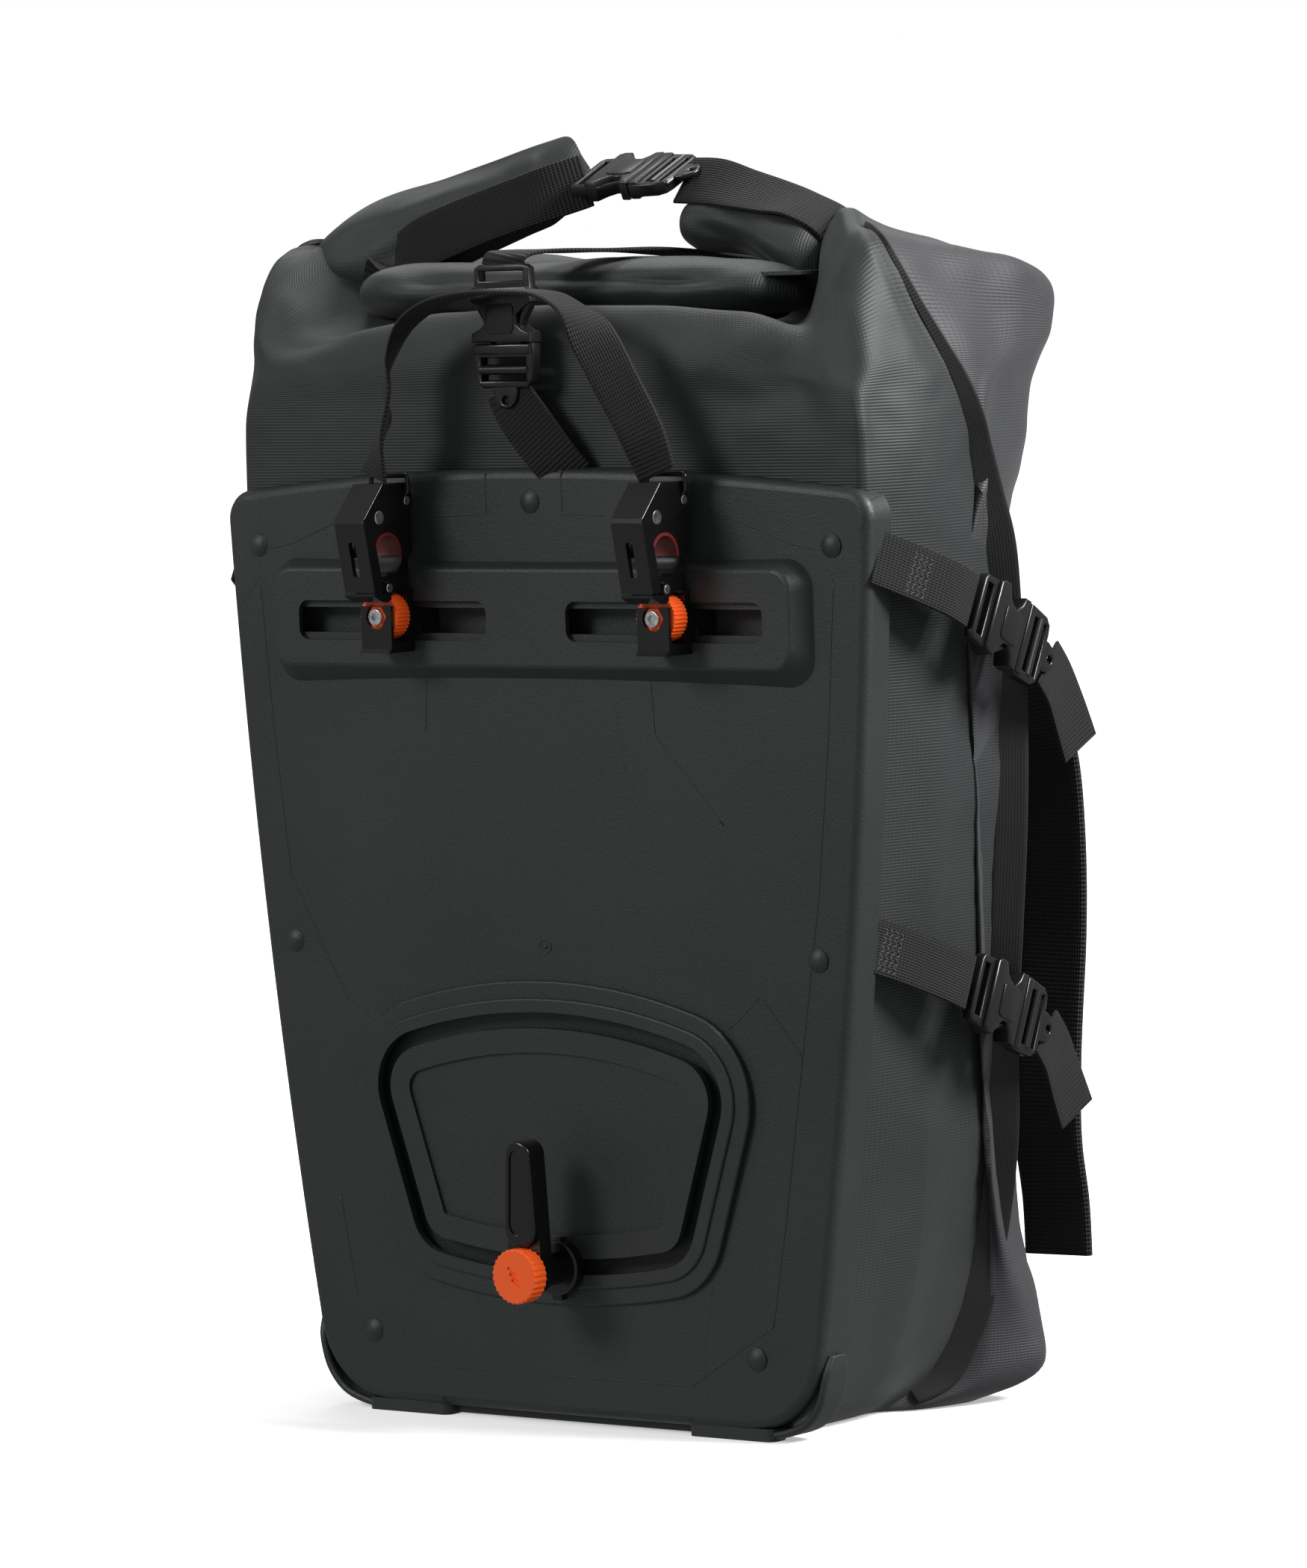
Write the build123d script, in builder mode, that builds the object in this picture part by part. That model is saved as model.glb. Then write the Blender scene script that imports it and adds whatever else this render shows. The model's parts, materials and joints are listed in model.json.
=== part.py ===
from build123d import *
import math
import os

# Roll-top bicycle pannier, in millimetres.  +Z is up, -Y faces the bicycle rack and X runs
# along the rack.  The origin is the centre of the two feet and the bag's base, on the ground.

# Back plate
BAG_BACK_Y = -80.0
PLATE_RIM_Y = -68.0
PLATE_CROWN_Y = -89.0
PLATE_CROWN_R = 2960.0
PLATE_WALL = 3.0
PLATE_BOTTOM_Z = 4.5
PLATE_TOP_Z = 413.5
PLATE_SIDE = [(131.0, PLATE_BOTTOM_Z), (159.0, 206.0), (174.3, 402.6)]
FOOT_X, FOOT_WIDTH = 87.5, 45.0
RIVETS = [(154.6, 380.0), (-154.6, 380.0), (141.6, 206.0), (-141.6, 206.0)]
RIVETS += [(104.0, 35.4), (-104.0, 35.4), (0.0, 399.0)]
RIVET_SHANK_R, RIVET_HEAD_R, RIVET_DOME, RIVET_LIFT = 2.4, 5.0, 1.9, 0.3

# Hook rail, behind two slots in the plate's raised housing
HOUSING_Y = -95.0
SLOT_X, SLOT_Z, SLOT_LENGTH, SLOT_HEIGHT = 73.25, 348.1, 103.5, 17.2
RAIL_BACK_Y, RAIL_FRONT_Y, RAIL_LENGTH, RAIL_HEIGHT = -80.3, -92.2, 262.0, 27.0
RAIL_GAP = 11.0

# Rack hooks, placed by the height and the stand-off in front of the housing
HOOK_X = {"left": -69.0, "right": 80.0}
HOOK_WIDTH = 16.5
TUBE_Y, TUBE_Z, TUBE_SEAT_R, INSERT_R = -108.5, 377.5, 9.5, 8.0
LEVER_AXIS = (-97.0, 400.0)
LEVER_PIN = (-116.5, 393.7)
LATCH_AXIS = (-111.0, 363.2)
DIAL_Z, DIAL_R, DIAL_TEETH = 350.6, 10.25, 36

# Lower hook and its closed track: the bottom run is an arc about TRACK_CENTRE_Z
TRACK_CENTRE_Z, TRACK_R = 383.5, 313.5
TRACK_HALF = 69.5
TRACK_FACE_Y = -91.7
POST_X = 5.0
ARM_GAP_Y = (-110.0, -121.0)

# Fabric body
SEAM_ARC = [(10.0, 0.0), (20.0, 190.0), (-30.0, 477.5)]
BAG_FLOOR_Z = 0.3
BAG_TOP_Z = 505.0
BAG_FRONT_Y = 88.0
ROLL_Z, ROLL_R = 493.0, 15.0

# Webbing and side-release buckles
WEB_WIDTH, WEB_THICK = 24.0, 1.6
BUCKLE_WIDTH, BUCKLE_THICK = 33.0, 9.0
FEMALE_LENGTH, MALE_LENGTH, PRONG_LENGTH = 34.0, 19.0, 24.0
HANDLE_WIDTH = 20.0

LEFT_EAR = [(-151, 508.4), (-151, 528), (-100, 541), (-43, 553), (-31, 543), (-30, 522), (-52, 508.4)]
RIGHT_EAR = [(36, 508.4), (46, 523), (92, 521), (141, 513), (141, 508.4)]
HANDLE_LEFT = [(-69, 412.8), (-63, 468), (-34, 489), (13.8, 489)]
HANDLE_RIGHT = [(14.4, 489), (48, 488), (70, 462), (80, 412.8)]
CENTRE_STRAP = [(-91, 501.4), (-91, 511.5), (-2, 511.5), (8, 502.5), (34, 502)]
SHOULDER_STRAP = [(86, 303), (99, 280), (100, 205), (92, 124), (97, 58)]

TOP_NORMAL = (0, -0.4, 0.9165)
UP_SLANT, LOW_SLANT = math.radians(28), math.radians(25)
BUCKLES = {
    "top": ((6, -5, 536), (1, 0, 0), TOP_NORMAL),
    "centre": ((-8, -91, 467), (0, 0, -1), (0, -1, 0)),
}
WEBS = {
    "top_strap_right": ((29, -5, 536), (58, -10, 533), TOP_NORMAL),
    "centre_strap_lower": ((9, -89, 419.5), (-5, -91, 440), (0, -1, 0)),
}
SIDE_STRAPS = []
for mirror, hand in ((1, "right"), (-1, "left")):
    for level, x, y, z, slant, start in (
        ("upper", 190, -3, 337, UP_SLANT, (179, -65, 371)),
        ("lower", 173, 12, 176, LOW_SLANT, (157, -64, 210)),
    ):
        run = (0, math.cos(slant), -math.sin(slant))
        rear, tip = FEMALE_LENGTH + 4.5, MALE_LENGTH + 7.5
        BUCKLES[f"{hand}_{level}"] = ((mirror * x, y, z), run, (mirror, 0, 0))
        SIDE_STRAPS.append((
            (mirror * start[0], start[1], start[2]),
            (mirror * x, y - rear * run[1], z - rear * run[2]),
            (mirror, 0, 0),
        ))
        WEBS[f"{hand}_{level}_tail"] = (
            (mirror * x, y + tip * run[1], z + tip * run[2]),
            (mirror * (x - 3), y + tip * run[1] + 26, z + tip * run[2] - 38),
            (mirror, 0, 0),
        )

os.makedirs("parts", exist_ok=True)


def save(part, name):
    part.label = name
    export_step(part, f"parts/{name}.step")


def crown_y(x):
    """Front surface of the crowned plate at x."""
    return PLATE_CROWN_Y + x * x / (2 * PLATE_CROWN_R)


def plate_face():
    """Tapered plate outline, drawn as a local XY sketch whose Y is the bag's height."""
    (x0, z0), (x1, z1), (x2, z2) = PLATE_SIDE
    with BuildSketch() as face:
        with BuildLine():
            ThreePointArc((x0, z0), (x1, z1), (x2, z2))
            ThreePointArc((x2, z2), (0, PLATE_TOP_Z), (-x2, z2))
            ThreePointArc((-x2, z2), (-x1, z1), (-x0, z0))
            Line((-x0, z0), (x0, z0))
        make_face()
        fillet(face.vertices().group_by(Axis.Y)[0], 38)
        fillet(face.vertices().group_by(Axis.Y)[-1], 13)
    return face.sketch


def flange_opening(wall):
    """Room inside the plate's side and bottom flange, open at the top."""
    with BuildSketch() as face:
        offset(plate_face(), amount=-wall)
        with Locations((0, 400)):
            Rectangle(2 * (168 - wall), 60)
    return face.sketch


def track_face(grow):
    """Shield outline along the centre of the groove, grown or shrunk."""
    low_z = TRACK_CENTRE_Z - math.sqrt(TRACK_R**2 - TRACK_HALF**2)
    with BuildSketch() as face:
        with BuildLine():
            ThreePointArc((-95, 158), (0, 176.3), (95, 158))
            Line((95, 158), (TRACK_HALF, low_z))
            ThreePointArc((TRACK_HALF, low_z), (0, TRACK_CENTRE_Z - TRACK_R), (-TRACK_HALF, low_z))
            Line((-TRACK_HALF, low_z), (-95, 158))
        make_face()
        fillet(face.vertices().group_by(Axis.Y)[-1], 22)
        fillet(face.vertices().group_by(Axis.Y)[0], 16)
        offset(amount=grow, mode=Mode.REPLACE)
    return face.sketch


def back_plate():
    with BuildPart() as plate:
        with BuildSketch(Plane.XZ.offset(-PLATE_RIM_Y)):
            add(plate_face())
        extrude(amount=PLATE_RIM_Y - PLATE_CROWN_Y)
        with BuildSketch(Plane.XY):
            with Locations((0, PLATE_CROWN_Y + PLATE_CROWN_R)):
                Circle(PLATE_CROWN_R)
        extrude(amount=PLATE_TOP_Z + 10, mode=Mode.INTERSECT)
        fillet(plate.faces().sort_by(Axis.Y)[0].edges(), 4.5)
        for grow, height in ((17.0, 90.4), (9.5, -TRACK_FACE_Y)):
            with BuildSketch(Plane.XZ.offset(84)):
                add(track_face(grow))
            extrude(amount=height - 84)
            ring = plate.faces().filter_by(Axis.Y).sort_by(Axis.Y)[0]
            fillet(ring.edges(), 1.0)
        with BuildSketch(Plane.XZ.offset(-TRACK_FACE_Y - 1.4)):
            add(track_face(-14))
        extrude(amount=2, mode=Mode.SUBTRACT)
        for width, bottom, depth in ((7.0, 88.2, 4.0), (12.0, 84.0, 4.2)):
            with BuildSketch(Plane.XZ.offset(bottom)):
                add(track_face(width / 2))
                add(track_face(-width / 2), mode=Mode.SUBTRACT)
            extrude(amount=depth, mode=Mode.SUBTRACT)
        with BuildSketch(Plane.XZ.offset(83)):
            with Locations((0, 347)):
                RectangleRounded(293, 58, 14)
        with BuildSketch(Plane.XZ.offset(-HOUSING_Y)):
            with Locations((0, 349.5)):
                RectangleRounded(277, 42, 9)
        loft()
        fillet(plate.faces().filter_by(Axis.Y).sort_by(Axis.Y)[0].edges(), 2.2)
        with BuildSketch(Plane.XZ.offset(-PLATE_RIM_Y)):
            add(flange_opening(PLATE_WALL))
        extrude(amount=PLATE_RIM_Y - BAG_BACK_Y, mode=Mode.SUBTRACT)
        with BuildSketch(Plane.XZ.offset(-BAG_BACK_Y)):
            with Locations((0, SLOT_Z)):
                Rectangle(RAIL_LENGTH + 0.6, RAIL_HEIGHT + 0.6)
        extrude(amount=-RAIL_FRONT_Y + BAG_BACK_Y + 0.3, mode=Mode.SUBTRACT)
        with BuildSketch(Plane.XZ.offset(90)):
            with Locations((-SLOT_X, SLOT_Z), (SLOT_X, SLOT_Z)):
                RectangleRounded(SLOT_LENGTH, SLOT_HEIGHT, 5)
        extrude(amount=10, mode=Mode.SUBTRACT)
        with BuildSketch(Plane.XZ.offset(-BAG_BACK_Y)):
            with Locations(*RIVETS):
                Circle(RIVET_SHANK_R + 0.1)
        extrude(amount=12, mode=Mode.SUBTRACT)
        with BuildSketch(Plane.XY):
            with Locations((-FOOT_X, -80), (FOOT_X, -80)):
                RectangleRounded(FOOT_WIDTH, 12, 4)
        extrude(amount=PLATE_BOTTOM_Z + 1)
    return plate.part


def plate_rivets():
    """Domed rivets whose shanks reach through the plate into the washers behind it."""
    bulge = (RIVET_HEAD_R**2 + RIVET_DOME**2) / (2 * RIVET_DOME)
    with BuildPart() as rivets:
        for x, z in RIVETS:
            head_y = crown_y(x) - RIVET_LIFT
            with Locations((x, head_y - RIVET_DOME + bulge, z)):
                Sphere(bulge)
            with BuildSketch(Plane.XZ.offset(-head_y)):
                with Locations((x, z)):
                    Circle(RIVET_HEAD_R + bulge)
            extrude(amount=-3 * bulge, mode=Mode.SUBTRACT)
        for x, z in RIVETS:
            head_y = crown_y(x) - RIVET_LIFT
            with BuildSketch(Plane.XZ.offset(77.2)):
                with Locations((x, z)):
                    Circle(RIVET_SHANK_R)
            extrude(amount=-head_y - 77.2)
    return rivets.part


def rivet_washers():
    with BuildPart() as washers:
        with BuildSketch(Plane.XZ.offset(78.2)):
            with Locations(*RIVETS):
                Circle(7)
                Circle(RIVET_SHANK_R + 0.1, mode=Mode.SUBTRACT)
        extrude(amount=1.4)
    return washers.part


def hook_rail():
    """C-shaped rail: a web, two flanges and the lips that the hooks' feet run behind."""
    low, high = SLOT_Z - RAIL_HEIGHT / 2, SLOT_Z + RAIL_HEIGHT / 2
    gap_low, gap_high = SLOT_Z - RAIL_GAP / 2, SLOT_Z + RAIL_GAP / 2
    lip_y, web_y = RAIL_FRONT_Y + 2.4, RAIL_BACK_Y - 2.0
    with BuildPart() as rail:
        with BuildSketch(Plane.YZ.offset(-RAIL_LENGTH / 2)):
            Polygon(
                (RAIL_BACK_Y, low), (RAIL_BACK_Y, high), (RAIL_FRONT_Y, high), (RAIL_FRONT_Y, gap_high),
                (lip_y, gap_high), (lip_y, high - 2), (web_y, high - 2), (web_y, low + 2), (lip_y, low + 2),
                (lip_y, gap_low), (RAIL_FRONT_Y, gap_low), (RAIL_FRONT_Y, low), align=None,
            )
        extrude(amount=RAIL_LENGTH)
    return rail.part


def hook_frame(x):
    """Block and cheeks in front of the housing, and the foot that slides in the rail."""
    foot_front, foot_back = RAIL_FRONT_Y + 2.8, RAIL_BACK_Y - 2.6
    with BuildPart() as frame:
        with BuildSketch(Plane.YZ.offset(x - HOOK_WIDTH / 2)):
            Polygon(
                (-95.3, 335), (-95.3, 362), (-99.4, 362), (-109.3, 355.3), (-111, 355.3), (-111, 337),
                (-113, 335), align=None,
            )
        extrude(amount=HOOK_WIDTH)
        with BuildSketch(Plane.YZ.offset(x - 6.1)):
            Polygon(
                (-95.3, 360), (-95.3, 374), (-92, 378), (-92, 397), (-93, 404), (-101, 404), (-109, 395),
                (-119.5, 386.5), (-119.5, 372), (-112, 366), (-112, 362), (-104.5, 361.3), align=None,
            )
        extrude(amount=12.2)
        with BuildSketch(Plane.YZ.offset(x - 10)):
            with Locations((TUBE_Y, TUBE_Z)):
                Circle(TUBE_SEAT_R)
            with Locations((TUBE_Y - 9, TUBE_Z)):
                Rectangle(18, 2 * TUBE_SEAT_R)
            with Locations(LEVER_AXIS, LATCH_AXIS):
                Circle(2.05)
        extrude(amount=20, mode=Mode.SUBTRACT)
        with BuildSketch(Plane.XZ.offset(99.4)):
            with Locations((x, DIAL_Z)):
                Rectangle(20, 2 * DIAL_R + 0.8)
        extrude(amount=9.9, mode=Mode.SUBTRACT)
        with BuildSketch(Plane.XZ.offset(95)):
            with Locations((x, DIAL_Z)):
                Circle(5.3)
        extrude(amount=20, mode=Mode.SUBTRACT)
        with BuildSketch(Plane.XZ.offset(-RAIL_FRONT_Y - 2.8)):
            with Locations((x, SLOT_Z)):
                Rectangle(24, RAIL_GAP - 0.6)
        extrude(amount=95.3 + RAIL_FRONT_Y + 2.8)
        with BuildSketch(Plane.XZ.offset(-foot_back)):
            with Locations((x, SLOT_Z)):
                Rectangle(24, RAIL_HEIGHT - 5)
        extrude(amount=foot_back - foot_front)
        with BuildSketch(Plane.XZ.offset(-foot_back)):
            with Locations((x, DIAL_Z)):
                Circle(2.1)
        extrude(amount=20, mode=Mode.SUBTRACT)
    return frame.part


def tube_insert(x):
    """Reducer that lines the top of the tube seat."""
    with BuildPart() as insert:
        with BuildSketch(Plane.YZ.offset(x - 6)):
            with Locations((TUBE_Y, TUBE_Z)):
                Circle(TUBE_SEAT_R - 0.02)
                Circle(INSERT_R, mode=Mode.SUBTRACT)
            with Locations((TUBE_Y, TUBE_Z - 11)):
                Rectangle(40, 20, mode=Mode.SUBTRACT)
        extrude(amount=12)
    return insert.part


def lever(x):
    """Cap and front jaw in one, a channel open to the rear over the frame's cheeks."""
    y0 = HOUSING_Y
    with BuildPart() as jaw:
        with BuildSketch(Plane.YZ.offset(x - HOOK_WIDTH / 2)):
            Polygon(
                (y0 + 1.8, 397), (y0 + 1.8, 403), (y0 - 3, 408), (y0 - 18.6, 408), (y0 - 32, 393.6),
                (y0 - 32.4, 391.5), (y0 - 26.5, 361.6), (y0 - 19.6, 361.6), (y0 - 24.4, 384),
                (y0 - 16, 389.5), (y0 - 5, 395), align=None,
            )
        extrude(amount=HOOK_WIDTH)
        fillet(jaw.edges().filter_by(Axis.X).group_by(Axis.Y)[0], 1.2)
        with BuildSketch(Plane.YZ.offset(x - 6.4)):
            Polygon(
                (y0 + 8, 385), (y0 + 8, 412), (y0 - 4, 412), (y0 - 6, 405.4), (y0 - 17.4, 405.4),
                (y0 - 29, 392.6),
                (y0 - 29.3, 391), (y0 - 23.6, 355), (y0, 355), align=None,
            )
        extrude(amount=12.8, mode=Mode.SUBTRACT)
        with BuildSketch(Plane.YZ.offset(x - 10)):
            with Locations(LEVER_AXIS):
                Circle(2.05)
            with Locations(LEVER_PIN):
                Circle(3.02)
        extrude(amount=20, mode=Mode.SUBTRACT)
        with BuildSketch(Plane.XZ.offset(110)):
            with Locations((x, 376)):
                RectangleRounded(3.6, 15, 1)
        extrude(amount=30, mode=Mode.SUBTRACT)
        sides = jaw.faces().filter_by(Axis.X).edges().filter_by(Axis.X, reverse=True)
        outer = sides.filter_by_position(Axis.X, x - 8.3, x - 8.2)
        outer += sides.filter_by_position(Axis.X, x + 8.2, x + 8.3)
        fillet([e for e in outer if e.geom_type != GeomType.CIRCLE or e.radius > 4], 0.5)
    return jaw.part


def cross_pin(x, at, radius, length):
    with BuildPart() as pin:
        with BuildSketch(Plane.YZ.offset(x - length / 2)):
            with Locations(at):
                Circle(radius)
        extrude(amount=length)
        chamfer(pin.edges(), 0.25)
    return pin.part


def latch(x):
    """Sill that closes the seat from below, on two ears round the latch pin."""
    with BuildPart() as sill:
        with BuildSketch(Plane.YZ.offset(x - HOOK_WIDTH / 2)):
            with Locations(LATCH_AXIS):
                Circle(3.4)
        extrude(amount=HOOK_WIDTH)
        with BuildSketch(Plane.YZ.offset(x - 6.4)):
            with Locations((-107, 363)):
                Rectangle(18, 10)
        extrude(amount=12.8, mode=Mode.SUBTRACT)
        with BuildSketch(Plane.YZ.offset(x - HOOK_WIDTH / 2)):
            Polygon((-112.3, 361), (-121.5, 361.2), (-121.5, 360), (-116.5, 357.5), (-112.3, 357), align=None)
            Polygon((-112.4, 361), (-112.4, 357), (-110, 358.2), (-110, 361), align=None)
        extrude(amount=HOOK_WIDTH)
        with BuildSketch(Plane.YZ.offset(x - 10)):
            with Locations(LATCH_AXIS):
                Circle(2.05)
        extrude(amount=20, mode=Mode.SUBTRACT)
    return sill.part


def clamp_dial(x):
    with BuildPart() as dial:
        with BuildSketch(Plane.XZ.offset(100)):
            with Locations((x, DIAL_Z)):
                Circle(DIAL_R - 0.45)
            with Locations((x, DIAL_Z)):
                with PolarLocations(DIAL_R - 0.5, DIAL_TEETH):
                    Circle(0.5)
        extrude(amount=8.8)
        with BuildSketch(Plane.XZ.offset(108)):
            with Locations((x, DIAL_Z)):
                RegularPolygon(4.9, 6)
        extrude(amount=2.2)
        with BuildSketch(Plane.XZ.offset(90)):
            with Locations((x, DIAL_Z)):
                Circle(2.05)
        extrude(amount=30, mode=Mode.SUBTRACT)
    return dial.part


def clamp_screw(x):
    """Countersunk screw with a star socket, seated in the dial's collar."""
    with BuildPart() as screw:
        with BuildSketch(Plane.XZ.offset(86)):
            with Locations((x, DIAL_Z)):
                Circle(2.0)
        extrude(amount=25.5)
        with BuildSketch(Plane.XZ.offset(110.3)):
            with Locations((x, DIAL_Z)):
                Circle(3.6)
        extrude(amount=1.6)
        fillet(screw.faces().sort_by(Axis.Y)[0].edges(), 0.5)
        with BuildSketch(Plane.XZ.offset(110.9)):
            with Locations((x, DIAL_Z)):
                RegularPolygon(1.9, 6)
        extrude(amount=4, mode=Mode.SUBTRACT)
    return screw.part


def strap_ring(x):
    """Wire loop on the lever that the carrying handle is sewn round."""
    y, low, high, half = -98.5, 403.4, 411.0, 10.0
    inner = HOOK_WIDTH / 2 + 0.02
    points = [(x - inner, y, low), (x - half, y, low), (x - half, y, high)]
    points += [(x + half, y, high), (x + half, y, low), (x + inner, y, low)]
    with BuildPart() as ring:
        with BuildLine():
            FilletPolyline(*points, radius=1.5)
        with BuildSketch(Plane(points[0], z_dir=(-1, 0, 0))):
            Circle(1.1)
        sweep()
    return ring.part


def track_slider(x, z):
    """Disc on the track's face, its T-foot in the groove and the neck that carries the arm."""
    with BuildPart() as slider:
        for radius, back, front in (
            (5.7, 84.3, 88.0), (3.4, 84.3, 92.1), (12.0, 92.0, 97.5), (7.0, 92.0, 109.7),
        ):
            with BuildSketch(Plane.XZ.offset(back)):
                with Locations((x, z)):
                    Circle(radius)
            extrude(amount=front - back)
        disc_face = slider.edges().filter_by(GeomType.CIRCLE).filter_by_position(Axis.Y, -97.6, -97.4)
        fillet(disc_face.sort_by(Edge.length)[-1], 1.5)
        with BuildSketch(Plane.XZ.offset(92.0)):
            with Locations((x, z - 12)):
                RectangleRounded(5, 4, 0.8)
            with Locations((x + 1, z + 11.5)):
                Circle(2)
        extrude(amount=4)
        with BuildSketch(Plane.XZ.offset(86)):
            with Locations((x, z)):
                Circle(2.6)
        extrude(amount=30, mode=Mode.SUBTRACT)
    return slider.part


def lower_hook_arm(x, z):
    """Upright arm that traps a rack strut between itself and the plate."""
    with BuildPart() as arm:
        with BuildSketch(Plane.XZ.offset(-ARM_GAP_Y[0])):
            with Locations((x, z)):
                Circle(9.2)
            with Locations((x, z + 51)):
                Circle(6.6)
            make_hull()
        extrude(amount=7.8)
        with BuildSketch(Plane.XZ.offset(115)):
            with Locations((x, z + 20)):
                Circle(8.3)
            with Locations((x, z + 51)):
                Circle(6.6)
            make_hull()
            with Locations((x, z)):
                Circle(12.4, mode=Mode.SUBTRACT)
        extrude(amount=-ARM_GAP_Y[1] - 115)
        fillet(arm.faces().sort_by(Axis.Y)[0].edges(), 1.2)
        with BuildSketch(Plane.XZ.offset(-ARM_GAP_Y[1] - 0.7)):
            with Locations((x, z + 22)):
                Circle(5.4)
            with Locations((x, z + 50)):
                Circle(4)
            make_hull()
        extrude(amount=3, mode=Mode.SUBTRACT)
        with BuildSketch(Plane.XZ.offset(100)):
            with Locations((x, z)):
                Circle(2.55)
        extrude(amount=20, mode=Mode.SUBTRACT)
    return arm.part


def lower_hook_dial(x, z):
    radius, back, front = 11.9, 118.0, 125.5
    with BuildPart() as dial:
        with BuildSketch(Plane.XZ.offset(back)):
            with Locations((x, z)):
                Circle(radius)
                with PolarLocations(radius + 0.9, 28):
                    Circle(1.3, mode=Mode.SUBTRACT)
        extrude(amount=front - back)
        chamfer(dial.faces().sort_by(Axis.Y)[0].edges(), 0.5)
        with BuildSketch(Plane.XZ.offset(front - 0.8)):
            with Locations((x - 1, z + 2.6), (x, z), (x + 1, z - 2.6)):
                SlotOverall(5.5, 1.4, rotation=-30)
        extrude(amount=2, mode=Mode.SUBTRACT)
        with BuildSketch(Plane.XZ.offset(back)):
            with Locations((x, z)):
                Circle(2.55)
        extrude(amount=4.2, mode=Mode.SUBTRACT)
    return dial.part


def lower_hook_bolt(x, z):
    with BuildPart() as bolt:
        with BuildSketch(Plane.XZ.offset(86.1)):
            with Locations((x, z)):
                Circle(2.5)
        extrude(amount=122 - 86.1)
    return bolt.part


def bag_outline():
    """Front view of the fabric body as a local XY sketch, tapered with the plate."""
    side = [(x - 4.0, z) for x, z in PLATE_SIDE]
    with BuildSketch() as face:
        with BuildLine():
            ThreePointArc((side[0][0], BAG_FLOOR_Z), side[1], side[2])
            Polyline(
                side[2], (168, 455), (151, BAG_TOP_Z),
                (-151, BAG_TOP_Z), (-168, 455), (-side[2][0], side[2][1]),
            )
            ThreePointArc((-side[2][0], side[2][1]), (-side[1][0], side[1][1]), (-side[0][0], BAG_FLOOR_Z))
            Line((-side[0][0], BAG_FLOOR_Z), (side[0][0], BAG_FLOOR_Z))
        make_face()
        fillet(face.vertices().group_by(Axis.Y)[0], 34)
    return face.sketch


def bag_body():
    """Gusset and back of the bag, up to the seam that carries the front panel."""
    with BuildPart() as body:
        with BuildSketch(Plane.XZ.offset(-60)):
            add(bag_outline())
        extrude(amount=60 + 79.7)
        with BuildSketch(Plane.YZ.offset(-200)):
            with BuildLine():
                Polyline(SEAM_ARC[0], (-79.7, 0), (-79.7, 470), (-72, 477.5), SEAM_ARC[2])
                ThreePointArc(*SEAM_ARC[::-1])
            make_face()
        extrude(amount=400, mode=Mode.INTERSECT)
        with BuildSketch(Plane.XZ.offset(-PLATE_RIM_Y - 0.4)):
            with Locations((0, 200)):
                Rectangle(420, 440)
            add(flange_opening(PLATE_WALL + 0.4), mode=Mode.SUBTRACT)
            with Locations((0, 440)):
                Rectangle(420, 60, mode=Mode.SUBTRACT)
        extrude(amount=20, mode=Mode.SUBTRACT)
        with BuildSketch(Plane.XZ.offset(76.0)):
            with Locations(*RIVETS):
                Circle(7.5)
        extrude(amount=10, mode=Mode.SUBTRACT)
    return body.part


def front_panel():
    """Bulging front of the bag, ahead of the seam."""
    seam = [(y + 0.4, z) for y, z in SEAM_ARC]
    with BuildPart() as panel:
        with BuildSketch(Plane.XZ.offset(-95)):
            add(bag_outline())
        extrude(amount=160)
        with BuildSketch(Plane.YZ.offset(-200)):
            with BuildLine():
                ThreePointArc(*seam)
                Polyline(seam[2], (-3.5, 477.5), (-3.5, 500), (58, 500), (76, 478), (82, 430))
                ThreePointArc((82, 430), (BAG_FRONT_Y, 260), (80, 70))
                Polyline((80, 70), (60, 0), seam[0])
            make_face()
        extrude(amount=400, mode=Mode.INTERSECT)
        with BuildSketch(Plane.XY):
            Ellipse(190, BAG_FRONT_Y + 1)
        extrude(amount=BAG_TOP_Z, mode=Mode.INTERSECT)
    return panel.part


def seam_fins():
    """Welded flange that stands out along both sides of the seam."""
    with BuildPart() as fins:
        with BuildSketch(Plane.XZ.offset(-60)):
            offset(bag_outline(), amount=11)
            offset(bag_outline(), amount=0.4, mode=Mode.SUBTRACT)
        extrude(amount=120)
        with BuildSketch(Plane.YZ.offset(-200)):
            with BuildLine():
                ThreePointArc(*SEAM_ARC)
                Line(SEAM_ARC[2], (SEAM_ARC[2][0] + 2.4, SEAM_ARC[2][1]))
                ThreePointArc(*[(y + 2.4, z) for y, z in SEAM_ARC[::-1]])
                Line((SEAM_ARC[0][0] + 2.4, SEAM_ARC[0][1]), SEAM_ARC[0])
            make_face()
        extrude(amount=400, mode=Mode.INTERSECT)
        with BuildSketch(Plane.XY.offset(14)):
            Rectangle(420, 300)
        extrude(amount=454, mode=Mode.INTERSECT)
    return fins.part


def roll_top():
    """Rolled collar, plain, with a slot for its stiffening batten."""
    with BuildPart() as roll:
        with BuildSketch(Plane.YZ.offset(-128)):
            with Locations((-33.5, ROLL_Z)):
                SlotOverall(57, 2 * ROLL_R - 1)
                Rectangle(20.6, 2.2, mode=Mode.SUBTRACT)
        extrude(amount=246)
    return roll.part


def roll_batten():
    with BuildPart() as batten:
        with Locations((-5, -33.5, ROLL_Z)):
            Box(238, 20, 1.6)
    return batten.part


def ear(outline):
    """Turned-up end of the rolled collar."""
    with BuildPart() as flap:
        with BuildSketch(Plane.XZ.offset(-4)):
            Polygon(*outline, align=None)
        extrude(amount=18)
    return flap.part


def buckle_plane(joint, axis, normal):
    """Local X runs from the female half to the male half, local Z out of the bag."""
    return Plane(joint, x_dir=axis, z_dir=normal)


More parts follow.
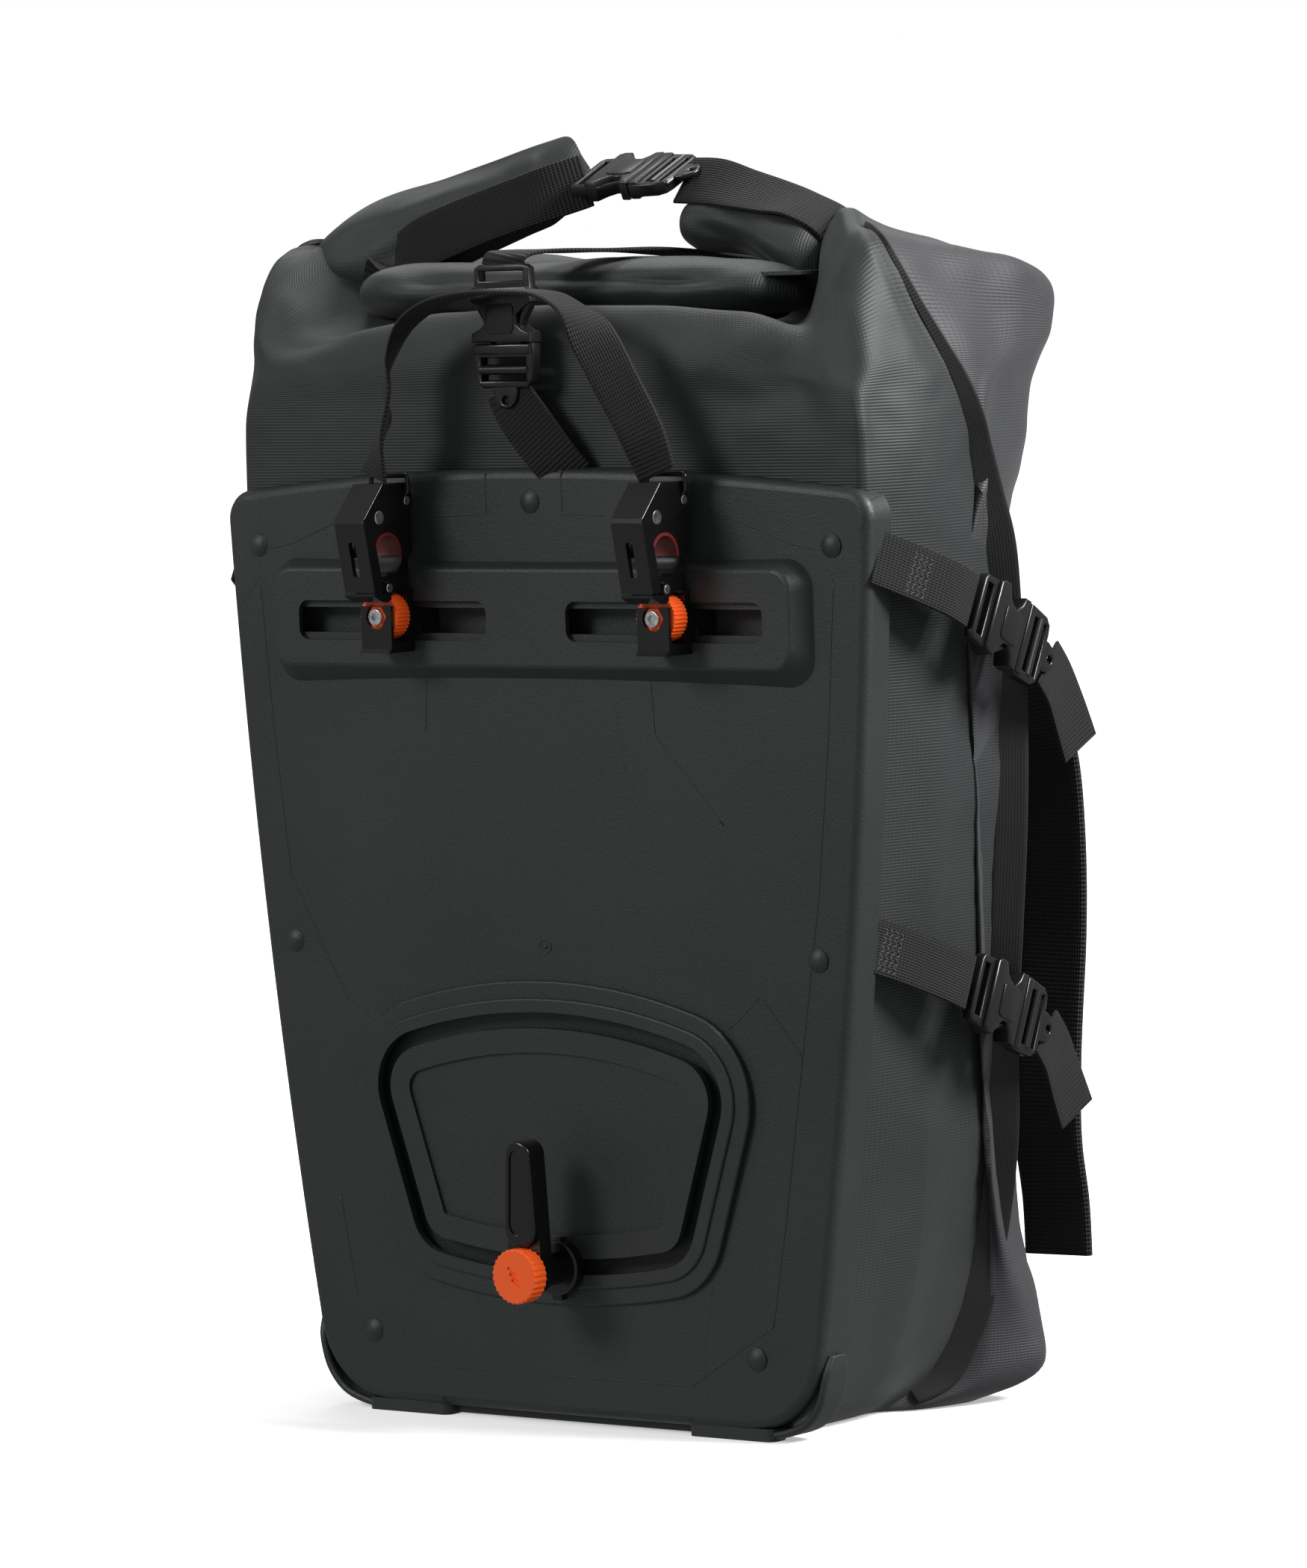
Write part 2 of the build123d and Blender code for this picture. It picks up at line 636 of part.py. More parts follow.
def female_buckle(plane):
    with BuildPart() as female:
        with BuildSketch(plane.offset(-BUCKLE_THICK / 2)):
            with Locations((-FEMALE_LENGTH / 2, 0)):
                RectangleRounded(FEMALE_LENGTH, BUCKLE_WIDTH, 4)
        extrude(amount=BUCKLE_THICK)
        fillet(female.faces().sort_by(Axis(plane.origin, plane.z_dir))[-1].edges(), 1.2)
        with BuildSketch(plane.offset(-2.7)):
            with Locations((-PRONG_LENGTH / 2, 0)):
                Rectangle(PRONG_LENGTH + 1, BUCKLE_WIDTH - 6)
        extrude(amount=5.4, mode=Mode.SUBTRACT)
        with BuildSketch(plane.offset(-2.7)):
            with Locations((-15, 0)):
                RectangleRounded(13, BUCKLE_WIDTH + 2, 1.5)
        extrude(amount=5.4, mode=Mode.SUBTRACT)
        with BuildSketch(plane.offset(-BUCKLE_THICK)):
            with Locations((-FEMALE_LENGTH + 5, 0)):
                Rectangle(3, WEB_WIDTH + 1)
        extrude(amount=2 * BUCKLE_THICK, mode=Mode.SUBTRACT)
    return female.part


def male_buckle(plane):
    with BuildPart() as male:
        with BuildSketch(plane.offset(-BUCKLE_THICK / 2)):
            with Locations((MALE_LENGTH / 2 + 0.3, 0)):
                RectangleRounded(MALE_LENGTH, BUCKLE_WIDTH, 3)
            with Locations((7, 0), (14, 0)):
                Rectangle(3, WEB_WIDTH + 1, mode=Mode.SUBTRACT)
        extrude(amount=BUCKLE_THICK)
        with BuildSketch(plane.offset(-2.3)):
            with Locations((-PRONG_LENGTH / 2 + 1, -10.5), (-PRONG_LENGTH / 2 + 1, 10.5)):
                RectangleRounded(PRONG_LENGTH, 4.6, 1.5)
            with Locations((-8, 0)):
                RectangleRounded(19, 4, 1.5)
        extrude(amount=4.6)
    return male.part


def webs(runs, width=WEB_WIDTH):
    """Straight runs of webbing, each between two points and facing along its normal."""
    with BuildPart() as strips:
        for start, end, normal in runs:
            a, b = Vector(*start), Vector(*end)
            flat = Plane((a + b) / 2, x_dir=b - a, z_dir=normal)
            with BuildSketch(flat.offset(-WEB_THICK / 2)):
                Rectangle((b - a).length, width)
            extrude(amount=WEB_THICK)
    return strips.part


def band(plane, points, radius, thick, width):
    """Webbing that bends in one plane, as a filleted path thickened and extruded."""
    with BuildPart() as strap:
        with BuildSketch(plane):
            with BuildLine():
                FilletPolyline(*points, radius=radius)
            trace(line_width=thick)
        extrude(amount=width)
    return strap.part


for side, hook_x in HOOK_X.items():
    save(hook_frame(hook_x), f"{side}_hook_frame")
    save(tube_insert(hook_x), f"{side}_tube_insert")
    save(lever(hook_x), f"{side}_lever")
    save(cross_pin(hook_x, LEVER_AXIS, 2.0, HOOK_WIDTH + 0.2), f"{side}_hinge_pin")
    save(cross_pin(hook_x, LEVER_PIN, 3.0, HOOK_WIDTH + 0.6), f"{side}_strap_pin")
    save(latch(hook_x), f"{side}_latch")
    save(cross_pin(hook_x, LATCH_AXIS, 2.0, HOOK_WIDTH + 0.4), f"{side}_latch_pin")
    save(strap_ring(hook_x), f"{side}_strap_ring")
    save(clamp_dial(hook_x), f"{side}_clamp_dial")
    save(clamp_screw(hook_x), f"{side}_clamp_screw")

POST_Z = TRACK_CENTRE_Z - math.sqrt(TRACK_R**2 - POST_X**2)
save(track_slider(POST_X, POST_Z), "lower_hook_slider")
save(lower_hook_arm(POST_X, POST_Z), "lower_hook_arm")
save(lower_hook_dial(POST_X, POST_Z), "lower_hook_dial")
save(lower_hook_bolt(POST_X, POST_Z), "lower_hook_bolt")

save(back_plate(), "back_plate")
save(plate_rivets(), "plate_rivets")
save(rivet_washers(), "rivet_washers")
save(hook_rail(), "hook_rail")

save(bag_body(), "bag_body")
save(front_panel(), "front_panel")
save(seam_fins(), "seam_fins")
save(roll_top(), "roll_top")
save(roll_batten(), "roll_batten")
save(ear(LEFT_EAR), "left_ear")
save(ear(RIGHT_EAR), "right_ear")

for name, (joint, axis, normal) in BUCKLES.items():
    place = buckle_plane(joint, axis, normal)
    save(female_buckle(place), f"{name}_buckle_socket")
    save(male_buckle(place), f"{name}_buckle_prongs")

for name, run in WEBS.items():
    save(webs([run]), name)
save(webs(SIDE_STRAPS), "side_straps")

save(band(Plane.XZ.offset(99), HANDLE_LEFT, 18, 1.8, HANDLE_WIDTH), "handle_left_half")
save(band(Plane.XZ.offset(99), HANDLE_RIGHT, 18, 1.8, HANDLE_WIDTH), "handle_right_half")
save(band(Plane.YZ.offset(-20), CENTRE_STRAP, 6, WEB_THICK, WEB_WIDTH), "centre_strap_upper")
save(band(Plane.YZ.offset(116), SHOULDER_STRAP, 25, 5, 34), "shoulder_strap")
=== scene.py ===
import json
import math

import bmesh
import bpy
import numpy as np
from mathutils import Matrix, Vector


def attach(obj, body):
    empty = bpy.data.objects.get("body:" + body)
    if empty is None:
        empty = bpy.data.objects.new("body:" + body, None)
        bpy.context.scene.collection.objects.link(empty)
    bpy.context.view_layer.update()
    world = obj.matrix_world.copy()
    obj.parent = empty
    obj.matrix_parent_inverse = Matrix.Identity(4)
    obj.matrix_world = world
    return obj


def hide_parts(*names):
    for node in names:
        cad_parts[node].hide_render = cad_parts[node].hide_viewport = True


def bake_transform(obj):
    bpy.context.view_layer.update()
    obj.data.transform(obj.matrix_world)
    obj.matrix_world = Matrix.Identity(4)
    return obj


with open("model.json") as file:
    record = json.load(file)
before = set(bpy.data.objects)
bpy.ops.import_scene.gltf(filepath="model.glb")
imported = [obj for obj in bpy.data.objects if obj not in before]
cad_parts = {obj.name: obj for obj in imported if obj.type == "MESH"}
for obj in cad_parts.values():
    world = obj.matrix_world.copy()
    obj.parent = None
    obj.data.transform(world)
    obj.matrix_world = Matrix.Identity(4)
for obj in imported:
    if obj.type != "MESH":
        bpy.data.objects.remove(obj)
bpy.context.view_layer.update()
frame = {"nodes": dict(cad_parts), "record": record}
nodes = frame["nodes"]
mm = 0.001
bandScale = math.pi / 10  # a wave texture repeats every pi / 10 / scale
print("frame loaded:", len(nodes), "nodes")

view = {"azimuth": 37.0, "elevation": 4.39, "roll": -1.96, "distance": 3.34913, "lens": 180.85,
        "target": (0.05418, -0.080, 0.27823)}


# Camera on a sphere round the target: azimuth from the bag's rack side, then elevation, then roll
def makeCamera(p):
    a, e, r = (math.radians(p[k]) for k in ("azimuth", "elevation", "roll"))
    back = Vector((math.sin(a) * math.cos(e), -math.cos(a) * math.cos(e), math.sin(e)))
    right = (-back).cross(Vector((0, 0, 1))).normalized()
    up = right.cross(-back)
    tiltedRight = right * math.cos(r) + up * math.sin(r)
    tiltedUp = -right * math.sin(r) + up * math.cos(r)
    data = bpy.data.cameras.new("studioCamera")
    data.lens, data.sensor_width, data.clip_end = p["lens"], 36.0, 50.0
    camera = bpy.data.objects.new("studioCamera", data)
    turn = Matrix((tiltedRight, tiltedUp, back)).transposed()
    camera.matrix_world = Matrix.Translation(Vector(p["target"]) + back * p["distance"]) @ turn.to_4x4()
    bpy.context.scene.collection.objects.link(camera)
    bpy.context.scene.camera = camera


# Round lamp at a place, shining towards the aim
def areaLight(name, place, aim, size, watts):
    data = bpy.data.lights.new(name, "AREA")
    data.shape, data.size, data.energy = "DISK", size, watts
    lamp = bpy.data.objects.new(name, data)
    lamp.location = place
    lamp.rotation_euler = (Vector(place) - Vector(aim)).to_track_quat("Z", "Y").to_euler()
    bpy.context.scene.collection.objects.link(lamp)


studio = {
    "room": (0.98, 0.99, 1.0, 1), "roomStrength": 0.34, "floorReach": 30.0,
    "lights": {  # place, aim, size and watts
        "keyLight": ((2.3, 0.7, 2.0), (0, 0, 0.4), 1.2, 165),
        "frontLight": ((-1.2, -2.7, 1.9), (0, 0, 0.3), 1.2, 46),
        "topLight": ((-0.6, 0.9, 2.8), (0, 0, 0.4), 1.6, 30),
    },
}


# White for the camera and a dimmer room for the light, three lamps and a pale floor
def makeStudio(p):
    scene = bpy.context.scene
    scene.view_settings.view_transform = "Standard"
    world = bpy.data.worlds.new("studioWorld")
    world.use_nodes = True
    tree = world.node_tree
    backdrop = tree.nodes["Background"]
    backdrop.inputs["Color"].default_value = (1, 1, 1, 1)
    backdrop.inputs["Strength"].default_value = 1.0
    room = tree.nodes.new("ShaderNodeBackground")
    room.inputs["Color"].default_value = p["room"]
    room.inputs["Strength"].default_value = p["roomStrength"]
    mix, path = tree.nodes.new("ShaderNodeMixShader"), tree.nodes.new("ShaderNodeLightPath")
    tree.links.new(path.outputs["Is Camera Ray"], mix.inputs["Fac"])
    tree.links.new(room.outputs[0], mix.inputs[1])
    tree.links.new(backdrop.outputs[0], mix.inputs[2])
    tree.links.new(mix.outputs[0], tree.nodes["World Output"].inputs["Surface"])
    scene.world = world
    for name, setting in p["lights"].items():
        areaLight(name, *setting)
    floor = bpy.data.meshes.new("studioFloor")
    reach = p["floorReach"]
    corners = [(-reach, -reach, 0), (reach, -reach, 0), (reach, reach, 0), (-reach, reach, 0)]
    floor.from_pydata(corners, [], [(0, 1, 2, 3)])
    obj = bpy.data.objects.new("studioFloor", floor)
    scene.collection.objects.link(obj)
    material, tree, shader = newMaterial("paleFloor")
    shader.inputs["Base Color"].default_value = (0.93, 0.93, 0.935, 1)
    shader.inputs["Roughness"].default_value = 0.8
    shader.inputs["Specular IOR Level"].default_value = 0.1
    # the floor glows a little near the bag and fully further off, so it stays white into the distance
    away = tree.nodes.new("ShaderNodeVectorMath")
    away.operation = "LENGTH"
    link(tree, coords(tree, "Object"), away.inputs[0])
    farness = mathNode(tree, "MULTIPLY", away.outputs["Value"], 0.25)
    glow = rampNode(tree, farness, (0.4,) * 3, (1,) * 3, 0.1, 0.5)
    link(tree, glow, shader.inputs["Emission Color"])
    shader.inputs["Emission Strength"].default_value = 1.0
    obj.data.materials.append(material)
    obj.visible_diffuse = obj.visible_glossy = False


# A new node material, with its tree and its main shader
def newMaterial(name):
    material = bpy.data.materials.new(name)
    material.use_nodes = True
    tree = material.node_tree
    return material, tree, tree.nodes["Principled BSDF"]


def link(tree, a, b):
    tree.links.new(a, b)


# Each of these adds one shader node, sets its values and returns its output
def noiseNode(tree, vector, scale, detail=4.0, roughness=0.5):
    node = tree.nodes.new("ShaderNodeTexNoise")
    node.inputs["Scale"].default_value = scale
    node.inputs["Detail"].default_value = detail
    node.inputs["Roughness"].default_value = roughness
    link(tree, vector, node.inputs["Vector"])
    return node.outputs["Fac"]


def waveNode(tree, vector, scale, direction, distortion=0.0):
    node = tree.nodes.new("ShaderNodeTexWave")
    node.wave_type, node.bands_direction, node.wave_profile = "BANDS", direction, "SIN"
    node.inputs["Scale"].default_value = scale
    node.inputs["Distortion"].default_value = distortion
    node.inputs["Detail"].default_value = 1.0
    node.inputs["Detail Scale"].default_value = 0.3
    link(tree, vector, node.inputs["Vector"])
    return node.outputs["Fac"]


def mathNode(tree, operation, a, b):
    node = tree.nodes.new("ShaderNodeMath")
    node.operation = operation
    for socket, value in zip(node.inputs, (a, b)):
        if isinstance(value, (int, float)):
            socket.default_value = value
        else:
            link(tree, value, socket)
    return node.outputs[0]


def rampNode(tree, factor, low, high, start=0.3, end=0.7):
    node = tree.nodes.new("ShaderNodeValToRGB")
    node.color_ramp.elements[0].position, node.color_ramp.elements[1].position = start, end
    node.color_ramp.elements[0].color, node.color_ramp.elements[1].color = (*low, 1), (*high, 1)
    link(tree, factor, node.inputs["Fac"])
    return node.outputs["Color"]


def bumpNode(tree, height, distance, strength=1.0, normal=None):
    node = tree.nodes.new("ShaderNodeBump")
    node.inputs["Distance"].default_value = distance
    node.inputs["Strength"].default_value = strength
    link(tree, height, node.inputs["Height"])
    if normal is not None:
        link(tree, normal, node.inputs["Normal"])
    return node.outputs["Normal"]


def coords(tree, which):
    return tree.nodes.new("ShaderNodeTexCoord").outputs[which]


def rangeNode(tree, value, low, high):
    node = tree.nodes.new("ShaderNodeMapRange")
    node.inputs["To Min"].default_value, node.inputs["To Max"].default_value = low, high
    link(tree, value, node.inputs["Value"])
    return node.outputs["Result"]


# Ribbed cloth: weft ribs along U, a fainter warp along V set a little wider, soft blotches and a sheen
def clothMaterial(name, low, high, ribPitch, bump, sheen, roughness):
    material, tree, shader = newMaterial(name)
    uv = coords(tree, "UV")
    ribs = waveNode(tree, uv, bandScale / ribPitch, "Y", 0.15)
    warp = waveNode(tree, uv, bandScale / ribPitch * 0.83, "X", 0.15)
    fine = mathNode(tree, "ADD", mathNode(tree, "MULTIPLY", warp, 0.45), 0.55)
    threads = mathNode(tree, "MULTIPLY", ribs, fine)
    blotch = noiseNode(tree, coords(tree, "Object"), 9.0, 6.0, 0.6)
    drift = mathNode(tree, "MULTIPLY", blotch, 0.7)
    tone = mathNode(tree, "ADD", drift, mathNode(tree, "MULTIPLY", threads, 0.3))
    link(tree, rampNode(tree, tone, low, high, 0.25, 0.75), shader.inputs["Base Color"])
    soft = noiseNode(tree, coords(tree, "Object"), 60.0, 3.0, 0.6)
    normal = bumpNode(tree, soft, 0.0006, 0.25)
    link(tree, bumpNode(tree, threads, bump, 1.0, normal), shader.inputs["Normal"])
    link(tree, rangeNode(tree, blotch, roughness - 0.07, roughness + 0.07), shader.inputs["Roughness"])
    shader.inputs["Sheen Weight"].default_value = sheen
    shader.inputs["Sheen Roughness"].default_value = 0.45
    shader.inputs["Specular IOR Level"].default_value = 0.42
    return material


# Ribbed tape: ribs across it every 1.9 mm, yarns along it every 1.2 mm, and a little fuzz
def webbingMaterial():
    material, tree, shader = newMaterial("blackWebbing")
    uv = coords(tree, "UV")
    ribs = waveNode(tree, uv, bandScale / 0.0019, "X", 0.1)
    yarns = waveNode(tree, uv, bandScale / 0.0012, "Y", 0.1)
    height = mathNode(tree, "ADD", ribs, mathNode(tree, "MULTIPLY", yarns, 0.6))
    fuzz = noiseNode(tree, coords(tree, "Object"), 900.0, 2.0, 0.6)
    dark, light = (0.0012, 0.0013, 0.0015), (0.0068, 0.0069, 0.0078)
    link(tree, rampNode(tree, height, dark, light, 0.1, 0.99), shader.inputs["Base Color"])
    normal = bumpNode(tree, fuzz, 0.0002, 0.3)
    link(tree, bumpNode(tree, height, 0.00035, 1.0, normal), shader.inputs["Normal"])
    shader.inputs["Roughness"].default_value = 0.72
    shader.inputs["Sheen Weight"].default_value = 0.06
    shader.inputs["Sheen Roughness"].default_value = 0.4
    shader.inputs["Specular IOR Level"].default_value = 0.3
    return material


# Moulded plastic: fine spark-erosion grain, slow tone drift and, on the plate, light scratches.
def plasticMaterial(name, low, high, roughness, grain, grainScale, specular=0.5, scratches=False):
    material, tree, shader = newMaterial(name)
    place = coords(tree, "Object")
    drift = noiseNode(tree, place, 7.0, 5.0, 0.6)
    tiny = noiseNode(tree, place, grainScale, 3.0, 0.7)
    tone = mathNode(tree, "MULTIPLY", mathNode(tree, "ADD", drift, tiny), 0.5)
    link(tree, rampNode(tree, tone, low, high), shader.inputs["Base Color"])
    normal = bumpNode(tree, tiny, grain, 0.6)
    rough = rangeNode(tree, drift, roughness - 0.06, roughness + 0.08)
    if scratches:
        lines = tree.nodes.new("ShaderNodeTexVoronoi")
        lines.feature = "DISTANCE_TO_EDGE"
        lines.inputs["Scale"].default_value = 7.0
        bent = tree.nodes.new("ShaderNodeMapping")
        bent.inputs["Rotation"].default_value = (0.2, 0.5, 0.3)
        bent.inputs["Scale"].default_value = (1.0, 1.0, 0.25)
        link(tree, place, bent.inputs["Vector"])
        link(tree, bent.outputs[0], lines.inputs["Vector"])
        mask = noiseNode(tree, place, 11.0, 2.0, 0.5)
        thin = mathNode(tree, "LESS_THAN", lines.outputs["Distance"], 0.0014)
        mark = mathNode(tree, "MULTIPLY", thin, mathNode(tree, "GREATER_THAN", mask, 0.6))
        normal = bumpNode(tree, mark, 0.0001, 0.5, normal)
        rough = mathNode(tree, "ADD", rough, mathNode(tree, "MULTIPLY", mark, -0.12))
    link(tree, normal, shader.inputs["Normal"])
    link(tree, rough, shader.inputs["Roughness"])
    shader.inputs["Specular IOR Level"].default_value = specular
    return material


# Plated steel: fine noise drives its tone and its roughness
def metalMaterial():
    material, tree, shader = newMaterial("zincSteel")
    place = coords(tree, "Object")
    brushed = noiseNode(tree, place, 400.0, 3.0, 0.6)
    link(tree, rampNode(tree, brushed, (0.42, 0.43, 0.44), (0.72, 0.73, 0.74)), shader.inputs["Base Color"])
    link(tree, rangeNode(tree, brushed, 0.2, 0.4), shader.inputs["Roughness"])
    shader.inputs["Metallic"].default_value = 1.0
    return material


# Stitching thread with a diagonal twist
def threadMaterial():
    material, tree, shader = newMaterial("stitchThread")
    twist = waveNode(tree, coords(tree, "Object"), 600.0, "DIAGONAL", 0.0)
    link(tree, rampNode(tree, twist, (0.02, 0.02, 0.021), (0.06, 0.06, 0.062)), shader.inputs["Base Color"])
    shader.inputs["Roughness"].default_value = 0.6
    return material


makeCamera(view)
makeStudio(studio)
mats = {
    "plate": plasticMaterial("plateGrain", (0.0075, 0.0105, 0.0098), (0.0205, 0.0258, 0.0245), 0.47, 0.0003,
                             1100.0,
                             0.5, True),
    "hook": plasticMaterial("hookGloss", (0.0022, 0.0022, 0.0025), (0.005, 0.005, 0.0055), 0.2, 0.00004,
                            900.0),
    "buckle": plasticMaterial("buckleSatin", (0.003, 0.0031, 0.0035), (0.0065, 0.0067, 0.0075), 0.27,
                              0.00005, 1200.0),
    "orange": plasticMaterial("dialOrange", (0.95, 0.105, 0.01), (1.0, 0.13, 0.015), 0.38, 0.00004, 900.0),
    "red": plasticMaterial("insertRed", (0.09, 0.004, 0.0035), (0.14, 0.006, 0.005), 0.5, 0.00005, 900.0),
    "steel": metalMaterial(),
    "backCloth": clothMaterial("backCloth", (0.0085, 0.0104, 0.0106), (0.019, 0.0222, 0.0228), 0.0013,
                               0.00012, 0.1, 0.57),
    "frontCloth": clothMaterial("frontCloth", (0.021, 0.0215, 0.024), (0.038, 0.0385, 0.043), 0.0013,
                                0.00014, 0.12, 0.55),
    # seam fin cloth: the back cloth coloured far darker, as painted shade on the shadowed fins
    "finClothPaintedShade": clothMaterial("finClothPaintedShade", (0.003, 0.003, 0.0033), (0.0065, 0.0065, 0.007), 0.0013, 0.00008,
                              0.05, 0.55),
    "webbing": webbingMaterial(),
    "thread": threadMaterial(),
}
cadFinish = {
    "plate_plastic": "plate", "hook_plastic": "hook", "dial_orange": "orange",
    "insert_red": "red", "steel": "steel", "buckle_plastic": "buckle", "back_fabric": "backCloth",
    "front_fabric": "frontCloth", "webbing": "webbing", "batten_plastic": "plate",
}
for entry in frame["record"]["subparts"]:
    obj = nodes[entry["node"]]
    obj.data.materials.clear()
    obj.data.materials.append(mats[cadFinish[entry["material_slot"]]])
print("materials ready")


# Catmull-Rom through points (k, ...), sampled evenly in parameter count times.
def catmull(points, count, closed=False):
    p = np.asarray(points, float)
    k = len(p)
    t = np.linspace(0, k if closed else k - 1, count, endpoint=not closed)
    i = np.floor(t).astype(int)
    if not closed:
        i = np.minimum(i, k - 2)
    f = (t - i).reshape((-1,) + (1,) * (p.ndim - 1))
    pick = (lambda j: p[j % k]) if closed else (lambda j: p[np.clip(j, 0, k - 1)])
    a, b, c, d = pick(i - 1), pick(i), pick(i + 1), pick(i + 2)
    return 0.5 * (2 * b + (c - a) * f + (2 * a - 5 * b + 4 * c - d) * f**2 + (3 * b - a - 3 * c + d) * f**3)


# Quads of a grid of points, wrapped round where rows or columns close
def gridFaces(rows, cols, closeRows=False, closeCols=False):
    r = np.arange(rows if closeRows else rows - 1)
    c = np.arange(cols if closeCols else cols - 1)
    rr, cc = np.meshgrid(r, c, indexing="ij")
    r2, c2 = (rr + 1) % rows, (cc + 1) % cols
    return np.stack([rr * cols + cc, rr * cols + c2, r2 * cols + c2, r2 * cols + cc], -1).reshape(-1, 4)


# Mesh object from vertex and quad arrays (metres); uv is one pair for each vertex.
def meshPiece(name, verts, faces, material, uv=None):
    mesh = bpy.data.meshes.new(name)
    verts, faces = np.asarray(verts, np.float32), np.asarray(faces, np.int32)
    mesh.vertices.add(len(verts))
    mesh.vertices.foreach_set("co", verts.ravel())
    mesh.loops.add(faces.size)
    mesh.loops.foreach_set("vertex_index", faces.ravel())
    mesh.polygons.add(len(faces))
    mesh.polygons.foreach_set("loop_start", np.arange(len(faces), dtype=np.int32) * faces.shape[1])
    if uv is not None:
        layer = mesh.uv_layers.new(name="surfaceUv")
        layer.data.foreach_set("uv", np.asarray(uv, np.float32)[faces.ravel()].ravel())
    mesh.update(calc_edges=True)
    mesh.validate()
    mesh.polygons.foreach_set("use_smooth", np.ones(len(mesh.polygons), bool))
    obj = bpy.data.objects.new(name, mesh)
    bpy.context.scene.collection.objects.link(obj)
    obj.data.materials.append(material)
    return obj


# UV in the grid's unit: U runs along a row, V up a column, both by mean arc length
def arcUv(grid):
    along = np.linalg.norm(np.diff(grid, axis=1), axis=2).mean(0)
    up = np.linalg.norm(np.diff(grid, axis=0), axis=2).mean(1)
    u, v = np.concatenate([[0], np.cumsum(along)]), np.concatenate([[0], np.cumsum(up)])
    return np.stack(np.meshgrid(u, v, indexing="xy"), -1).reshape(-1, 2)


# Rounded flat section of webbing, as (across, out) pairs counter-clockwise.
def tapeSection(width, thick, n=6):
    a = np.linspace(-math.pi / 2, math.pi / 2, n)
    r = thick / 2
    right = np.stack([width / 2 - r + r * np.cos(a), r * np.sin(a)], -1)
    flat = np.linspace(width / 2 - r, -width / 2 + r, 9)[1:-1]
    top = np.stack([flat, np.full(len(flat), r)], -1)
    left = -right
    bottom = np.stack([-flat, np.full(len(flat), -r)], -1)
    return np.concatenate([right, top, left, bottom])


# Webbing swept along a smooth path (mm): a rounded flat section set square to it.
def tape(name, path, across, width, thick, material, count=80):
    line = catmull(path, count)
    side = catmull(across, count)
    tangent = np.gradient(line, axis=0)
    tangent /= np.linalg.norm(tangent, axis=1, keepdims=True)
    side -= (side * tangent).sum(1, keepdims=True) * tangent
    side /= np.linalg.norm(side, axis=1, keepdims=True)
    out = np.cross(tangent, side)
    section = tapeSection(max(np.atleast_1d(width)), thick)
    scale = catmull(np.atleast_1d(width), count) / max(width) if np.ndim(width) else np.ones(count)
    flat = section[None, :, 0] * scale[:, None]
    ring = line[:, None] + flat[..., None] * side[:, None] + section[None, :, 1, None] * out[:, None]
    n = len(section)
    verts = np.concatenate([ring.reshape(-1, 3), line[:1], line[-1:]]) * mm
    faces = gridFaces(count, n, closeCols=True)
    end = (count - 1) * n  # both ends are fans of triangles round the line's own end points
    caps = [(count * n, (j + 1) % n, j) for j in range(n)]
    caps += [(count * n + 1, end + j, end + (j + 1) % n) for j in range(n)]
    length = np.concatenate([[0], np.cumsum(np.linalg.norm(np.diff(line, axis=0), axis=1))])
    u = np.repeat(length, n) * mm
    v = np.tile(section[:, 0], count) * mm
    uv = np.concatenate([np.stack([u, v], -1), [[0, 0], [length[-1] * mm, 0]]])
    mesh = bpy.data.meshes.new(name)
    mesh.from_pydata(verts.tolist(), [], faces.tolist() + caps)
    layer = mesh.uv_layers.new(name="surfaceUv")
    index = np.zeros(len(mesh.loops), np.int32)
    mesh.loops.foreach_get("vertex_index", index)
    layer.data.foreach_set("uv", uv[index].astype(np.float32).ravel())
    mesh.polygons.foreach_set("use_smooth", np.ones(len(mesh.polygons), bool))
    obj = bpy.data.objects.new(name, mesh)
    bpy.context.scene.collection.objects.link(obj)
    mesh.materials.append(material)
    return obj


